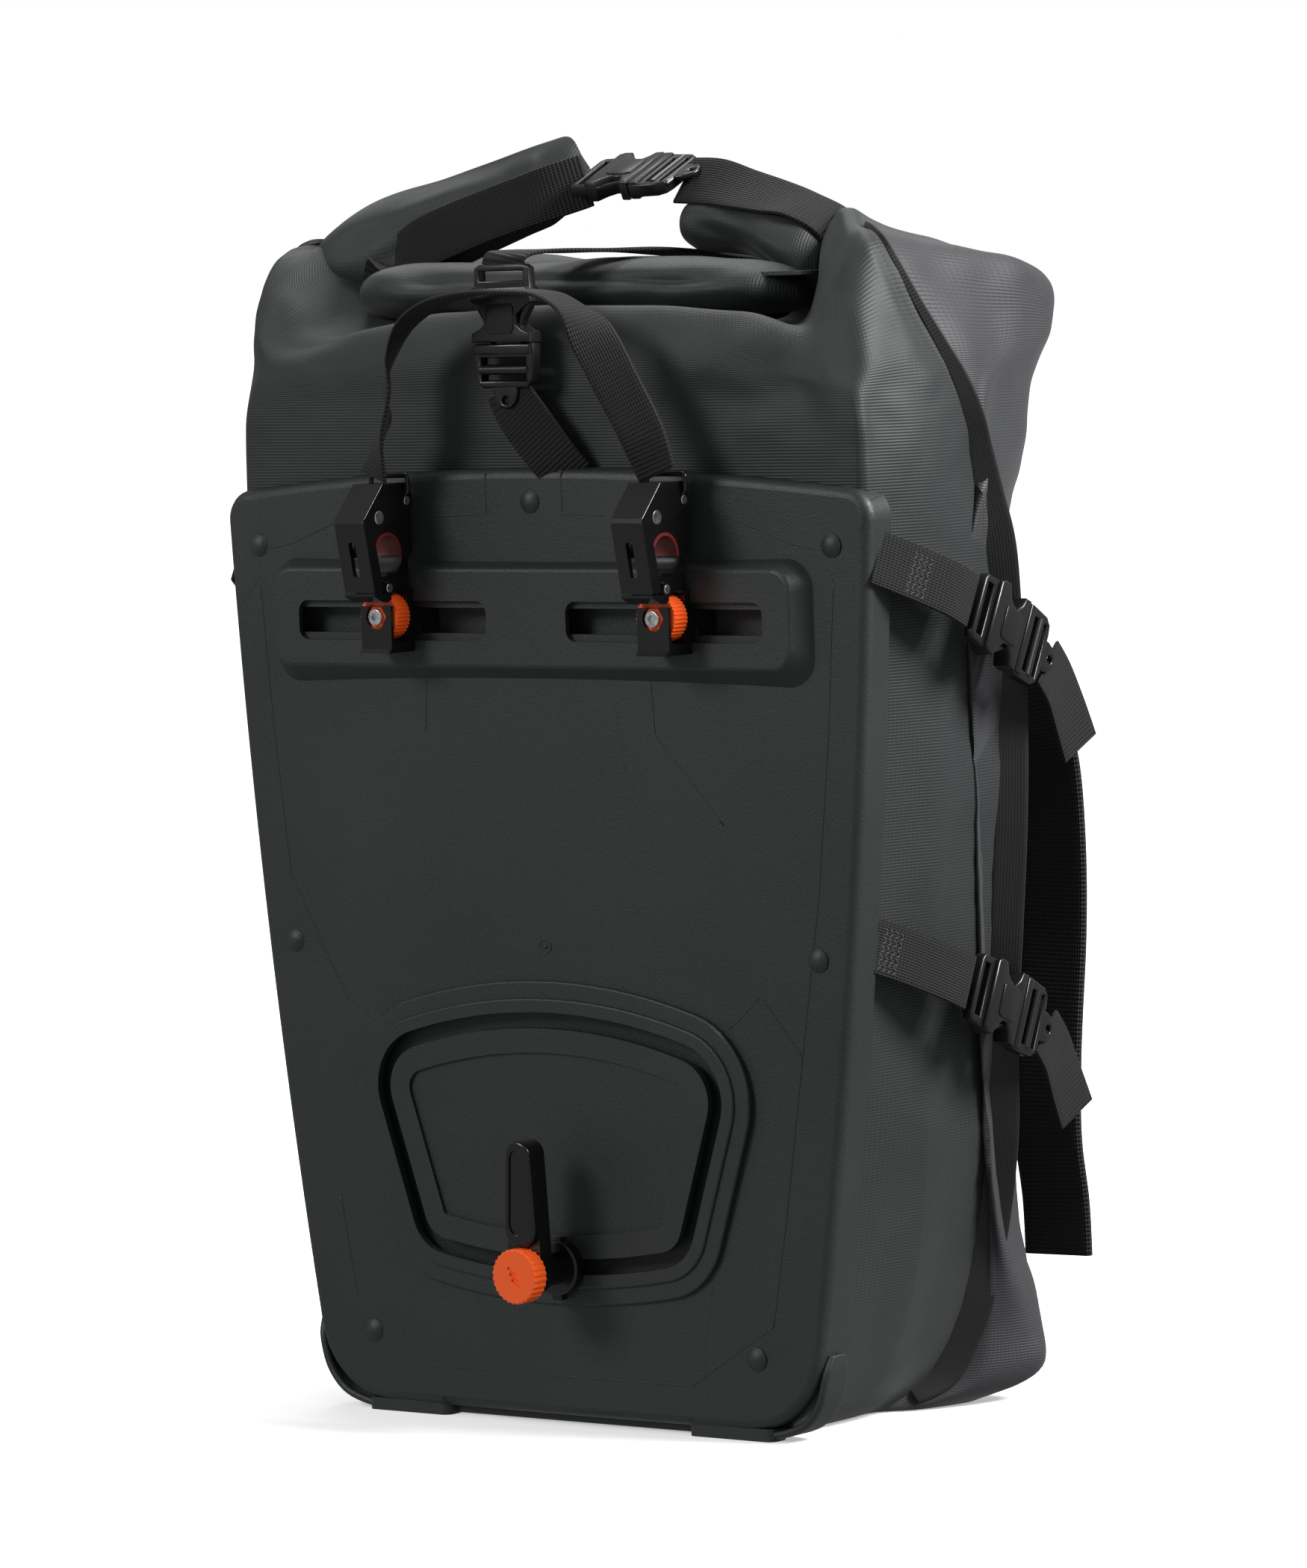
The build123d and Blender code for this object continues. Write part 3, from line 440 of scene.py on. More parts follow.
# One row for each height: z, half-widths of back and gusset, seam x and y, front half-width,
# front y and the front corner's radius, in mm
shell = {
    "levels": [
        (2, 104, 106, 107, -2, 130, 52, 14),
        (14, 117, 121, 120, 14, 150, 67, 12),
        (40, 128, 132, 131, 24, 149, 75, 26),
        (87, 136, 141, 141, 29, 149, 81, 50),
        (140, 144, 150, 151, 23, 154, 85, 68),
        (218, 154, 160, 161, 15, 163, 86, 82),
        (303, 162, 170, 170, 12, 171, 86, 94),
        (370, 167, 174, 174, 2, 173, 86, 95),
        (410, 169, 175, 175, -6, 175, 87, 82),
        (440, 167, 172, 172, -14, 175, 88, 76),
    ],
    "right": [
        [(0, -79, 462), (60, -80, 461), (115, -78, 456), (138, -76, 454), (151, -73, 458), (162, -66, 462),
         (166, -45, 466), (166, -33, 466), (165, -23, 466), (168, 5, 465), (169, 42, 465), (162, 71, 464),
         (136, 87, 464), (70, 91, 465), (0, 92, 466)],
        [(0, -71, 480), (55, -71, 480), (103, -69, 477), (129, -65, 470), (138, -60, 481), (144, -53, 494),
         (148, -45, 503), (149, -40, 505), (150, -34, 505), (155, 0, 501), (163, 48, 493), (157, 79, 485),
         (132, 89, 484), (70, 90, 487), (0, 90, 489)],
        [(0, -54, 478), (50, -54, 478), (90, -51, 474), (114, -44, 472), (121, -37, 496), (125, -29, 509),
         (128, -24, 513), (129, -21, 513), (130, -18, 512), (133, 6, 508), (143, 36, 501), (143, 62, 496),
         (124, 74, 493), (60, 76, 495), (0, 75, 496)],
        [(0, -30, 472), (45, -30, 472), (78, -28, 470), (100, -20, 474), (103, -12, 506), (104, -5, 517),
         (105, -1, 520), (106, 2, 520), (107, 6, 519), (107, 18, 513), (110, 32, 507), (102, 42, 503),
         (82, 44, 501), (40, 40, 500), (0, 38, 499)],
        [(0, -12, 470), (40, -12, 470), (68, -11, 470), (84, -8, 476), (86, -5, 496), (87, -2, 502),
         (88, 0, 503), (88, 2, 503), (88, 4, 502), (88, 8, 500), (84, 14, 497), (76, 18, 494),
         (64, 16, 492), (36, 12, 489), (0, 8, 488)],
    ],
    "left": [
        [(0, -79, 462), (60, -80, 461), (115, -79, 457), (146, -78, 455), (160, -75, 458), (168, -67, 461),
         (171, -45, 464), (170, -33, 465), (169, -23, 466), (169, 5, 465), (169, 42, 465), (162, 71, 464),
         (136, 87, 464), (70, 91, 465), (0, 92, 466)],
        [(0, -71, 480), (55, -71, 479), (108, -71, 473), (146, -72, 467), (162, -70, 474), (168, -63, 487),
         (170, -55, 497), (169, -47, 503), (167, -36, 506), (164, 0, 503), (163, 48, 494), (157, 79, 485),
         (132, 89, 484), (70, 90, 487), (0, 90, 489)],
        [(0, -54, 478), (50, -54, 477), (96, -53, 472), (134, -56, 474), (153, -56, 488), (160, -50, 500),
         (161, -38, 507), (160, -28, 509), (159, -18, 510), (154, 8, 508), (149, 40, 503), (144, 64, 496),
         (124, 74, 493), (60, 76, 495), (0, 75, 496)],
        [(0, -30, 472), (45, -30, 472), (86, -30, 474), (118, -32, 480), (141, -28, 496), (150, -16, 510),
         (152, -8, 513), (152, 0, 514), (150, 6, 513), (142, 18, 509), (128, 32, 509), (108, 42, 503),
         (82, 44, 501), (40, 40, 500), (0, 38, 499)],
        [(0, -12, 470), (40, -12, 470), (78, -11, 472), (106, -11, 478), (126, -8, 490), (134, -4, 500),
         (136, -1, 502), (136, 2, 502), (134, 4, 501), (127, 9, 499), (112, 15, 500), (92, 18, 495),
         (68, 16, 492), (36, 12, 489), (0, 8, 488)],
    ],
    "seamColumn": 8, "rowsPerLevel": 11, "colsPerPoint": 10,
    "wrinkles": [(1.5, 150, 3), (0.9, 60, 11)],  # depth, length and seed of the slow waves
    "creases": [  # from, to, half-width and height, which is negative in a valley
        ((150, -70, 425), (120, -76, 462), 9, -3.0),
        ((172, -30, 440), (150, -55, 470), 8, 2.2),
        ((165, 30, 470), (172, -10, 400), 12, -2.5),
        ((150, 60, 480), (165, 40, 410), 10, 2.0),
        ((-20, -80, 445), (60, -80, 470), 12, -1.6),
        ((-165, -66, 458), (-112, -76, 474), 6, -3.2),
        ((-168, -60, 476), (-140, -66, 500), 9, 2.2),
        ((-168, -50, 470), (-172, -30, 400), 12, -2.4),
        ((-150, -60, 505), (-125, -45, 474), 7, -1.2),
        ((70, -80, 452), (124, -70, 470), 8, 2.4),
        ((90, -80, 436), (150, -72, 452), 9, -2.2),
        ((126, -60, 486), (102, -10, 512), 5, 2.6),
        ((138, -52, 488), (112, -10, 512), 6, -2.4),
        ((148, -30, 500), (166, 10, 440), 11, 2.4),
        ((112, 10, 512), (168, 20, 440), 9, -2.4),
        ((120, 30, 506), (168, 50, 450), 9, 1.8),
        ((172, -20, 420), (172, 40, 340), 14, -2.0),
        ((150, 70, 470), (160, 60, 360), 11, -1.8),
        ((140, 60, 60), (150, 66, 12), 9, 2.6),
        ((128, 66, 90), (140, 58, 20), 8, -2.4),
    ],
    # the cloth lies flat against the plate and the floor, and is free above the first height of each
    # pair, or in front of the first depth, growing over the second
    "abovePlate": (395, 40), "besidePlate": (-60, 25), "aboveFloor": (6, 30), "lowest": 0.4,
}


# Fifteen control points round the right half, from the back's middle to the front's.
def halfRing(z, back, gusset, seamX, seamY, frontX, frontY, radius):
    c = radius * 0.293  # how far the middle of a quarter circle stands in from its corner
    face, turnY = -79.6, -69  # the back's plane, and where the back turns into the gusset
    return [
        (0, face, z), (back * 0.45, face, z), (back * 0.8, face, z), (back - 9, -79.4, z), (back - 2, -77, z),
        (back + 0.3, turnY, z), (gusset, (seamY + turnY) * 0.62, z), (gusset + 0.6, (seamY + turnY) * 0.3, z),
        (seamX, seamY, z), (seamX * 0.4 + frontX * 0.6, seamY * 0.6 + 0.4 * (frontY - radius), z),
        (frontX - 1, frontY - radius, z), (frontX - c, frontY - c, z), (frontX - radius, frontY - 1, z),
        ((frontX - radius) * 0.5, frontY + 1, z), (0, frontY + 1.5, z),
    ]


# Sum of a few slow sine waves through space, mostly within -1..1
def smoothNoise(grid, scale, seed, octaves=3):
    gen = np.random.default_rng(seed)
    total, weight = np.zeros(grid.shape[:2]), 0.0
    for octave in range(octaves):
        amount = 0.5**octave
        for _ in range(5):
            way = gen.normal(size=3)
            way *= (2.0**octave) * 2 * math.pi / scale / np.linalg.norm(way)
            total += amount * np.sin(grid @ way + gen.uniform(0, 6.28))
        weight += amount * 5
    return total / weight * 2.0


# Soft valley (negative depth) or ridge along the segment a-b.
def crease(grid, a, b, width, depth):
    a, b = np.array(a, float), np.array(b, float)
    d = b - a
    t = np.clip(((grid - a) @ d) / (d @ d), 0, 1)
    away = np.linalg.norm(grid - (a + t[..., None] * d), axis=2)
    fade = np.sin(np.clip(t, 0.02, 0.98) * math.pi) ** 0.6
    return depth * fade * np.exp(-((away / width) ** 2))


# Unit normals: cross product of the two differences along the grid
def gridNormals(grid):
    du, dv = np.gradient(grid, axis=1), np.gradient(grid, axis=0)
    n = np.cross(du, dv)
    return n / np.maximum(np.linalg.norm(n, axis=2, keepdims=True), 1e-9)


# Control rings as a grid, blown up by Catmull-Rom both ways: (rows, cols, 3) in mm.
def shellGrid(p):
    rings = []
    for level in p["levels"]:
        right = halfRing(*level)
        rings.append([(-x, y, z) for x, y, z in right[:0:-1]] + right[:-1])
    for right, left in zip(p["right"], p["left"]):
        rings.append([(-x, y, z) for x, y, z in left[:0:-1]] + right[:-1])
    base = np.array(rings[0], float)  # smaller and smaller rings close the bag underneath
    low = base * [0.9, 0.9, 0] + [0, -2, 0.6]
    middle = base * [0.45, 0.45, 0] + [0, -4, 1.2]
    centre = base * 0 + [0, -5, 1.2]
    control = np.array([centre, middle, low] + [np.array(r, float) for r in rings])
    rows = catmull(control, (len(control) - 1) * p["rowsPerLevel"] + 1)
    cols = control.shape[1]
    grid = catmull(rows.transpose(1, 0, 2), cols * p["colsPerPoint"], closed=True).transpose(1, 0, 2)
    return grid


# The grid pushed along its normals by slow waves and creases, then cut at both seams
def makeShell(p):
    grid = shellGrid(p)
    normal = gridNormals(np.concatenate([grid, grid[:, :1]], axis=1))[:, :-1]
    y, z = grid[..., 1], grid[..., 2]
    above, beside, floor = (np.clip((value - p[key][0]) / p[key][1], 0, 1) for value, key in
                            ((z, "abovePlate"), (y, "besidePlate"), (z, "aboveFloor")))
    free = np.maximum(above, beside) * floor
    bulge = sum(amount * smoothNoise(grid, scale, seed) for amount, scale, seed in p["wrinkles"])
    for a, b, width, depth in p["creases"]:
        bulge += crease(grid, a, b, width, depth)
    grid = grid + normal * (bulge * free)[..., None]
    grid[..., 2] = np.maximum(grid[..., 2], p["lowest"])
    per = p["colsPerPoint"]
    middle = len(p["right"][0]) - 1  # the control column at the middle of the back
    seamRight, seamLeft = (middle + p["seamColumn"]) * per, (middle - p["seamColumn"]) * per
    back = grid[:, seamLeft:seamRight + 1]
    wrap = np.concatenate([grid[:, seamRight:], grid[:, :seamLeft + 1]], axis=1)
    pieces = []
    for name, part, cloth in (("backShell", back, "backCloth"), ("frontShell", wrap, "frontCloth")):
        verts = part.reshape(-1, 3) * mm
        piece = meshPiece(name, verts, gridFaces(*part.shape[:2]), mats[cloth], arcUv(part) * mm)
        pieces.append(piece)
    return pieces, back[:, -1], back[:, 0]


# Sets the body that a piece moves with and hides the nodes that it stands for
def place(obj, body, replaced, slotName):
    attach(obj, body)
    if replaced:
        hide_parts(*replaced)
    return obj


(backShell, frontShell), seamRight, seamLeft = makeShell(shell)
place(backShell, "bag", ["bag_body"], "back_fabric")
place(frontShell, "bag", ["front_panel"], "front_fabric")
print("shell made")


# One closed ring after another along a fold of cloth: ellipses, pinched to a ridge at the top,
# with slow wrinkles round them; (x, y, z, half depth, half height) in mm
def clothFold(name, p, material, rows=90, around=72):
    track = catmull(np.array(p["sections"], float), rows)
    t = np.linspace(0, 2 * math.pi, around, endpoint=False)
    x, y, z, deep, high = (track[:, k, None] for k in range(5))
    top, bottom = np.clip(np.cos(t), 0, 1) ** 4, np.clip(-np.cos(t), 0, 1) ** 4
    pinch = 1 - p["pinch"] * top - p["keel"] * bottom
    lean = p.get("lean", 0.0) * high * np.cos(t)
    slant = p.get("slant", 0.0) * high * np.cos(t)
    grid = np.stack([x + lean, y + slant + deep * np.sin(t) * pinch, z + high * np.cos(t)], -1)
    normal = np.stack([0 * t + 0 * x, np.sin(t) + 0 * x, np.cos(t) + 0 * x], -1)
    body = np.clip(np.sin(np.linspace(0.02, 0.98, rows) * math.pi), 0, 1)[:, None]
    ripple = p["ripple"] * np.sin(p["turns"] * t + x / p["wave"]) + 0.7 * smoothNoise(grid, 40, p["seed"], 2)
    grid = grid + normal * (ripple * body * np.minimum(1, deep / 6))[..., None]
    for a, b, width, depth in p["creases"]:
        grid = grid + normal * crease(grid, a, b, width, depth)[..., None]
    # each end closes over a ring of half its size; a bowl presses the first end inwards
    first, last = grid[0].mean(0), grid[-1].mean(0)
    bowl = p.get("bowl", 0.0)
    startRing = first + (grid[0] - first) * 0.5 + [bowl, 0, 0]
    first = first + [bowl * 1.4, 0, 0]
    endRing = last + (grid[-1] - last) * 0.5
    full = np.concatenate([[first + 0 * grid[0]], [startRing], grid, [endRing], [last + 0 * grid[0]]])
    obj = meshPiece(name, full.reshape(-1, 3) * mm, gridFaces(rows + 4, around, closeCols=True), material,
                    arcUv(full) * mm)
    closePoles(obj)
    return obj


# Merges the points that meet at the poles, then turns every face outwards.
def closePoles(obj):
    work = bmesh.new()
    work.from_mesh(obj.data)
    bmesh.ops.remove_doubles(work, verts=work.verts, dist=1e-6)
    bmesh.ops.recalc_face_normals(work, faces=work.faces)
    work.to_mesh(obj.data)
    work.free()


# Seam fins: the welded edge stands out diagonally along the seam between back and front cloth
# They point sideways and forwards low down ("low"), and upwards near the mouth ("high")
fin = {"reach": 13.0, "thick": 1.8, "low": (0.72, 0.69, 0.0), "high": (0.45, 0.1, 0.88)}
per = shell["rowsPerLevel"]
for side, seam in (("right", seamRight), ("left", seamLeft)):
    hand = 1 if side == "right" else -1
    rows = np.arange(3 * per + 6, 15 * per + 6, 6)
    rise = np.clip((rows - 12 * per) / (2.5 * per), 0, 1)[:, None]
    low, high = (np.array([hand * x, y, z]) for x, y, z in (fin["low"], fin["high"]))
    across = low * (1 - rise) + high * rise
    taper = np.clip((14.6 * per - rows) / (4.6 * per), 0.16, 1) * np.clip((rows - 3 * per) / per, 0.3, 1)
    path = seam[rows] + across * (fin["reach"] * 0.42 * taper)[:, None]
    # the fins are back fabric, given the darker cloth as painted shade
    strip = tape(side + "SeamFin", path, across, list((fin["reach"] + 2) * taper), fin["thick"],
                 mats["finClothPaintedShade"], 200)
    place(strip, "bag", ["seam_fins"] if side == "right" else [], "back_fabric")

# Folded ears of the roll closure
leftEar = {
    "sections": [(-166, -22, 504, 6, 8), (-158, -20, 506, 12, 14), (-146, -17, 508, 16, 19.5),
                 (-130, -14, 510, 15, 23.5),
                 (-108, -12, 514.5, 13, 24.5), (-88, -11, 520.5, 11.5, 23), (-68, -9, 527, 9.5, 22),
                 (-52, -7, 532, 8, 20.5),
                 (-44, -6, 534.2, 6.5, 20), (-39, -6, 534.2, 5.5, 18), (-34, -5, 533.5, 4.5, 12.5),
                 (-28, -5, 533.5, 3, 7)],
    "pinch": 0.8, "keel": 0.3, "ripple": 0.3, "turns": 3, "wave": 14, "seed": 21, "lean": 0.12, "slant": 0.3,
    "creases": [((-140, -28, 498), (-40, -14, 530), 4, -2.0), ((-150, -26, 512), (-60, -16, 544), 5, 1.8),
                ((-56, -10, 552), (-48, -12, 528), 3, 1.6), ((-66, -14, 546), (-58, -14, 522), 3, -1.5),
                ((-158, -30, 500), (-120, -26, 524), 6, -2.0)],
}
rightEar = {
    "sections": [(31, -6, 514.5, 11, 10), (36, -6, 514, 12, 11), (50, -6, 513, 12.5, 11.5),
                 (65, -6, 511.5, 13, 12.5),
                 (80, -10, 506, 14, 15), (92, -14, 500, 13, 17), (99, -16, 495.5, 10, 17),
                 (105, -16, 491, 4, 13)],
    "pinch": 0.15, "keel": 0.55, "ripple": 0.3, "turns": 2, "wave": 17, "seed": 5,
    "creases": [((40, -19, 515), (103, -26, 486), 3.5, -2.6), ((44, -18, 522), (100, -28, 499), 5, 2.0)],
    "bowl": 9.0,
}
rolledTop = {
    "sections": [(-128, -24, 487, 12, 8), (-120, -28, 488, 22, 11), (-90, -34, 489, 26, 12.5),
                 (-40, -36, 489, 26, 12.5),
                 (10, -36, 489, 26, 12), (60, -34, 488, 25, 12), (86, -30, 487, 23, 11),
                 (98, -27, 486, 16, 9),
                 (104, -25, 485, 8, 5)],
    "pinch": 0.1, "keel": 0.0, "ripple": 1.1, "turns": 2, "wave": 31, "seed": 9,
    "creases": [((-110, -60, 493), (100, -58, 492), 3.5, -3.0), ((-100, -58, 500), (-40, -60, 484), 7, -3.0),
                ((-116, -50, 498), (-80, -60, 486), 8, 2.5), ((30, -58, 484), (90, -55, 499), 6, -2.5)],
}
place(clothFold("leftEarFold", leftEar, mats["backCloth"]), "bag", ["left_ear"], "back_fabric")
place(clothFold("rightEarFold", rightEar, mats["backCloth"]), "bag", ["right_ear"], "back_fabric")
place(clothFold("rolledMouth", rolledTop, mats["backCloth"], 120), "bag", ["roll_top"], "back_fabric")
print("folds made")

# Webbing, each with its path, the way across it and the body it moves with, in mm
straps = {
    "leftEarBand": {"path": [(-25, -8, 535), (-45, -18, 528.5), (-77, -23, 519), (-104, -27, 509),
                             (-121, -28, 497),
                             (-124, -27, 484)],
                    "across": [(.15, .3, .93), (.25, .2, .93), (.3, .2, .92), (.45, .15, .85), (.75, .1, .6),
                               (.95, 0, .2)], "body": "bag"},
    "centreStrapLower": {"path": [(20, -84, 408), (13, -89, 418), (3, -91, 431), (-5, -91, 441),
                                  (-7.5, -91, 447)],
                         "across": [(.9, .1, .35), (.9, .1, .35), (.93, .1, .3), (.98, 0, .15), (1, 0, 0)],
                         "body": "centre_prongs", "replaces": ["centre_strap_lower"],
                         "start": (20, -84, 408), "end": (-7, -91, 445)},
    "centreStrapUpper": {"path": [(-8, -91, 499), (-7, -89, 504), (-3, -78, 505.5), (7, -54, 505),
                                  (16, -30, 504.5),
                                  (24, -8, 502.5), (30, 12, 500), (33, 28, 498)],
                         "across": [(1, 0, 0)] * 2 + [(.97, .2, 0)] * 6, "body": "bag",
                         "replaces": ["centre_strap_upper"]},
    "topStrapRight": {"path": [(26, -5, 533.5), (42, -7, 532.5), (58, -8, 529), (76, -9, 525), (92, -10, 521),
                               (105, -6, 513), (112, 0, 500)],
                      "across": [(0, .6, .8), (0, .6, .8), (.05, .75, .65), (.1, .85, .5), (.2, .92, .3),
                                 (.25, .93, .2), (.25, .93, .2)], "body": "top_prongs",
                      "replaces": ["top_strap_right"], "start": (95, -6, 518), "end": (40, -6, 533)},
    "shoulderStrap": {"path": [(128, 86, 312), (131, 92, 298), (134, 99, 276), (135, 101, 240),
                               (134, 101, 200),
                               (133, 96, 150), (133, 94, 112), (134, 97, 82), (134, 98, 58)],
                      "across": [(1, .1, 0)] * 9, "body": "bag", "replaces": ["shoulder_strap"], "width": 33,
                      "thick": 4.4},
}
upperAcross, lowerAcross = (0.0, 0.4695, 0.8829), (0.0, 0.4226, 0.9063)  # across the side webbing
for hand, side in ((1, "right"), (-1, "left")):
    straps[side + "UpperTail"] = {
        "path": [(hand * 190, 20, 324.8), (hand * 189.5, 29, 315), (hand * 188.5, 38, 301),
                 (hand * 188, 46, 286)],
        "across": [upperAcross, (0, .6, .8), (0.05, .75, .65), (0.1, .8, .6)], "body": side + "_upper_prongs",
        "replaces": [side + "_upper_tail"]}
    straps[side + "LowerTail"] = {
        "path": [(hand * 173, 35.5, 165), (hand * 172.5, 44, 155), (hand * 171.5, 52, 141),
                 (hand * 171, 60, 126)],
        "across": [lowerAcross, (0, .6, .8), (0.05, .75, .65), (0.1, .8, .6)], "body": side + "_lower_prongs",
        "replaces": [side + "_lower_tail"]}
    straps[side + "UpperStrap"] = {
        "path": [(hand * 172, -78, 375), (hand * 177, -68, 370.5), (hand * 183, -55, 364.5),
                 (hand * 188.5, -44, 358.8),
                 (hand * 190, -34.5, 353.8)],
        "across": [upperAcross] * 5, "body": "bag", "replaces": ["side_straps"] if side == "right" else []}
    straps[side + "LowerStrap"] = {
        "path": [(hand * 152, -78, 216), (hand * 157, -66, 211), (hand * 164, -50, 204.5),
                 (hand * 170.5, -32, 196.5),
                 (hand * 173, -20.5, 191.2)],
        "across": [lowerAcross] * 5, "body": "bag"}

handle = {
    "left": {"path": [(-69, -109, 411), (-66, -109, 421), (-61, -109, 434), (-59.5, -110, 448),
                      (-57, -109, 462),
                      (-48, -109, 476), (-32, -109, 485), (-10, -109, 489), (14.2, -109, 489)],
             "across": [(.95, -.3, 0), (.8, -.6, 0), (.5, -.86, 0), (.72, -.69, 0), (.5, -.86, .1),
                        (.3, -.95, .1),
                        (.1, -1, .05), (0, -1, 0), (0, -1, 0)]},
    "right": {"path": [(14.2, -109, 489), (30, -109, 487), (44, -109, 479), (54.5, -109, 465),
                       (64, -109, 449),
                       (75, -108, 429), (82, -107, 411)],
              "across": [(0, -1, 0), (-.15, -1, .05), (-.4, -.85, .2), (-.75, -.5, -.1), (-.85, -.4, -.2),
                         (-.88, -.35, -.25), (-1, 0, 0)]},
}


# Webbing with a start and an end keeps its place with its transform baked in; the rest rides on its body
def addStrap(name, p):
    piece = tape(name, p["path"], p["across"], p.get("width", 24.0), p.get("thick", 1.7), mats["webbing"], 90)
    if p.get("replaces"):
        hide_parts(*p["replaces"])
    if "start" in p:
        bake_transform(piece)
    else:
        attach(piece, p["body"])


for name, strap in straps.items():
    addStrap(name, strap)
for side, p in handle.items():
    far = p["path"][-1] if side == "left" else p["path"][0]
    grip = p["path"][0] if side == "left" else p["path"][-1]
    addStrap(side + "HandleHalf", {**p, "width": 20.0, "thick": 1.8, "body": side + "_hook",
                                   "replaces": ["handle_" + side + "_half"], "start": far, "end": grip})
print("webbing made")


# Side-release buckles. Flat outlines are (along, across) in mm from the joint line, cut out with
# rounded edges and set on the buckle's own plane: along its axis, across, and out along its normal
buckleSpots = {
    "top": ((6, -5, 536), (1, 0, 0), (0, -0.4, 0.9165)),
    "centre": ((-8, -91, 467), (0, 0, -1), (0, -1, 0)),
}
for hand, side in ((1, "right"), (-1, "left")):
    buckleSpots[side + "_upper"] = ((hand * 190, -3, 337), (0, 0.8829, -0.4695), (hand, 0, 0))
    buckleSpots[side + "_lower"] = ((hand * 173, 12, 176), (0, 0.9063, -0.4226), (hand, 0, 0))
buckle = {
    "yoke": ([(-33.5, -12), (-32, -14.6), (-23, -15.2), (-20, -16.4), (-20, 16.4), (-23, 15.2), (-32, 14.6),
              (-33.5, 12)], [[(-30.6, -11.6), (-30.6, 11.6), (-26.6, 11.6), (-26.6, -11.6)]], 5.2, 0.0),
    "shell": ([(-24, -14.5), (-21.5, -16.4), (-17.5, -16.3), (-15, -11.5), (-12, -8.6), (-8.5, -8.4),
               (-6, -11.6),
               (-4.6, -15.6), (-0.4, -15.9), (-0.4, 15.9), (-4.6, 15.6), (-6, 11.6), (-8.5, 8.4), (-12, 8.6),
               (-15, 11.5), (-17.5, 16.3), (-21.5, 16.4), (-24, 14.5)], [], 9.0, 0.0),
    "boss": ([(-17, -6.2), (-15, -7.6), (-6, -7.4), (-4, -6), (-4, 6), (-6, 7.4), (-15, 7.6), (-17, 6.2)],
             [], 1.2, 4.5),
    "ladder": ([(0.3, -15.8), (4, -16.4), (15, -15.6), (18.2, -13), (19, -9), (19, 9), (18.2, 13), (15, 15.6),
                (4, 16.4), (0.3, 15.8)],
               [[(6.2, -12.2), (6.2, 12.2), (9.4, 12.2), (9.4, -12.2)],
                [(13.4, -12), (13.4, 12), (16.2, 12), (16.2, -12)]],
               6.0, 0.0),
    "lip": ([(0.4, -15.4), (4.8, -15.4), (4.8, 15.4), (0.4, 15.4)], [], 8.6, 0.0),
    "tab": ([(17, -6.5), (21, -6.8), (25, -5.6), (27.4, -3), (28, 0), (27.4, 3), (25, 5.6), (21, 6.8),
             (17, 6.5)],
            [[(24.4, -1.9), (25.8, -1.3), (26.3, 0), (25.8, 1.3), (24.4, 1.9), (23, 1.3), (22.5, 0),
              (23, -1.3)]], 2.6, 1.2),
    "armThick": 4.6, "bars": [(11.4, 13.4, 2.3, 1.6), (17.6, 12.5, 1.7, 1.0)],
}
arm = [(1, 9.2), (-6, 9.6), (-10, 11.2), (-14, 13.9), (-17.6, 15.9), (-19.8, 15.2), (-21.5, 11),
       (-20.4, 10.4),
       (-17, 11), (-12, 9), (-6, 6.8), (1, 6.6)]


# Points, faces of a flat outline with holes, thickened, with rounded edges (2-D curve fill).
def flatCut(outer, holes, thick, lift, rounding=0.9):
    data = bpy.data.curves.new("outline", "CURVE")
    data.dimensions, data.fill_mode = "2D", "BOTH"
    edge = min(rounding, thick * 0.3)
    data.extrude, data.offset = (thick / 2 - edge) * mm, -edge * mm
    data.bevel_depth, data.bevel_resolution = edge * mm, 2
    for loop in [outer] + holes:
        spline = data.splines.new("POLY")
        spline.points.add(len(loop) - 1)
        spline.points.foreach_set("co", [c for x, y in loop for c in (x * mm, y * mm, 0, 1)])
        spline.use_cyclic_u = True
    holder = bpy.data.objects.new("outline", data)
    mesh = bpy.data.meshes.new_from_object(holder)
    co = np.empty(len(mesh.vertices) * 3, np.float32)
    mesh.vertices.foreach_get("co", co)
    faces = [tuple(f.vertices) for f in mesh.polygons]
    bpy.data.objects.remove(holder)
    bpy.data.meshes.remove(mesh)
    return co.reshape(-1, 3) + [0, 0, lift * mm], faces


# Bar lying across the buckle: a circle carried along it, ends domed in.
def roundBar(along, across, radius, lift, n=20):
    t = np.linspace(0, 2 * math.pi, n, endpoint=False)
    b = np.array([-across, -across, -across + 0.7, across - 0.7, across, across])
    r = np.array([0.01, 0.75, 1, 1, 0.75, 0.01]) * radius
    grid = np.stack([along + r[:, None] * np.cos(t), b[:, None] + 0 * t, lift + r[:, None] * np.sin(t)], -1)
    return grid.reshape(-1, 3) * mm, [tuple(map(int, f)) for f in gridFaces(len(b), n, closeCols=True)]


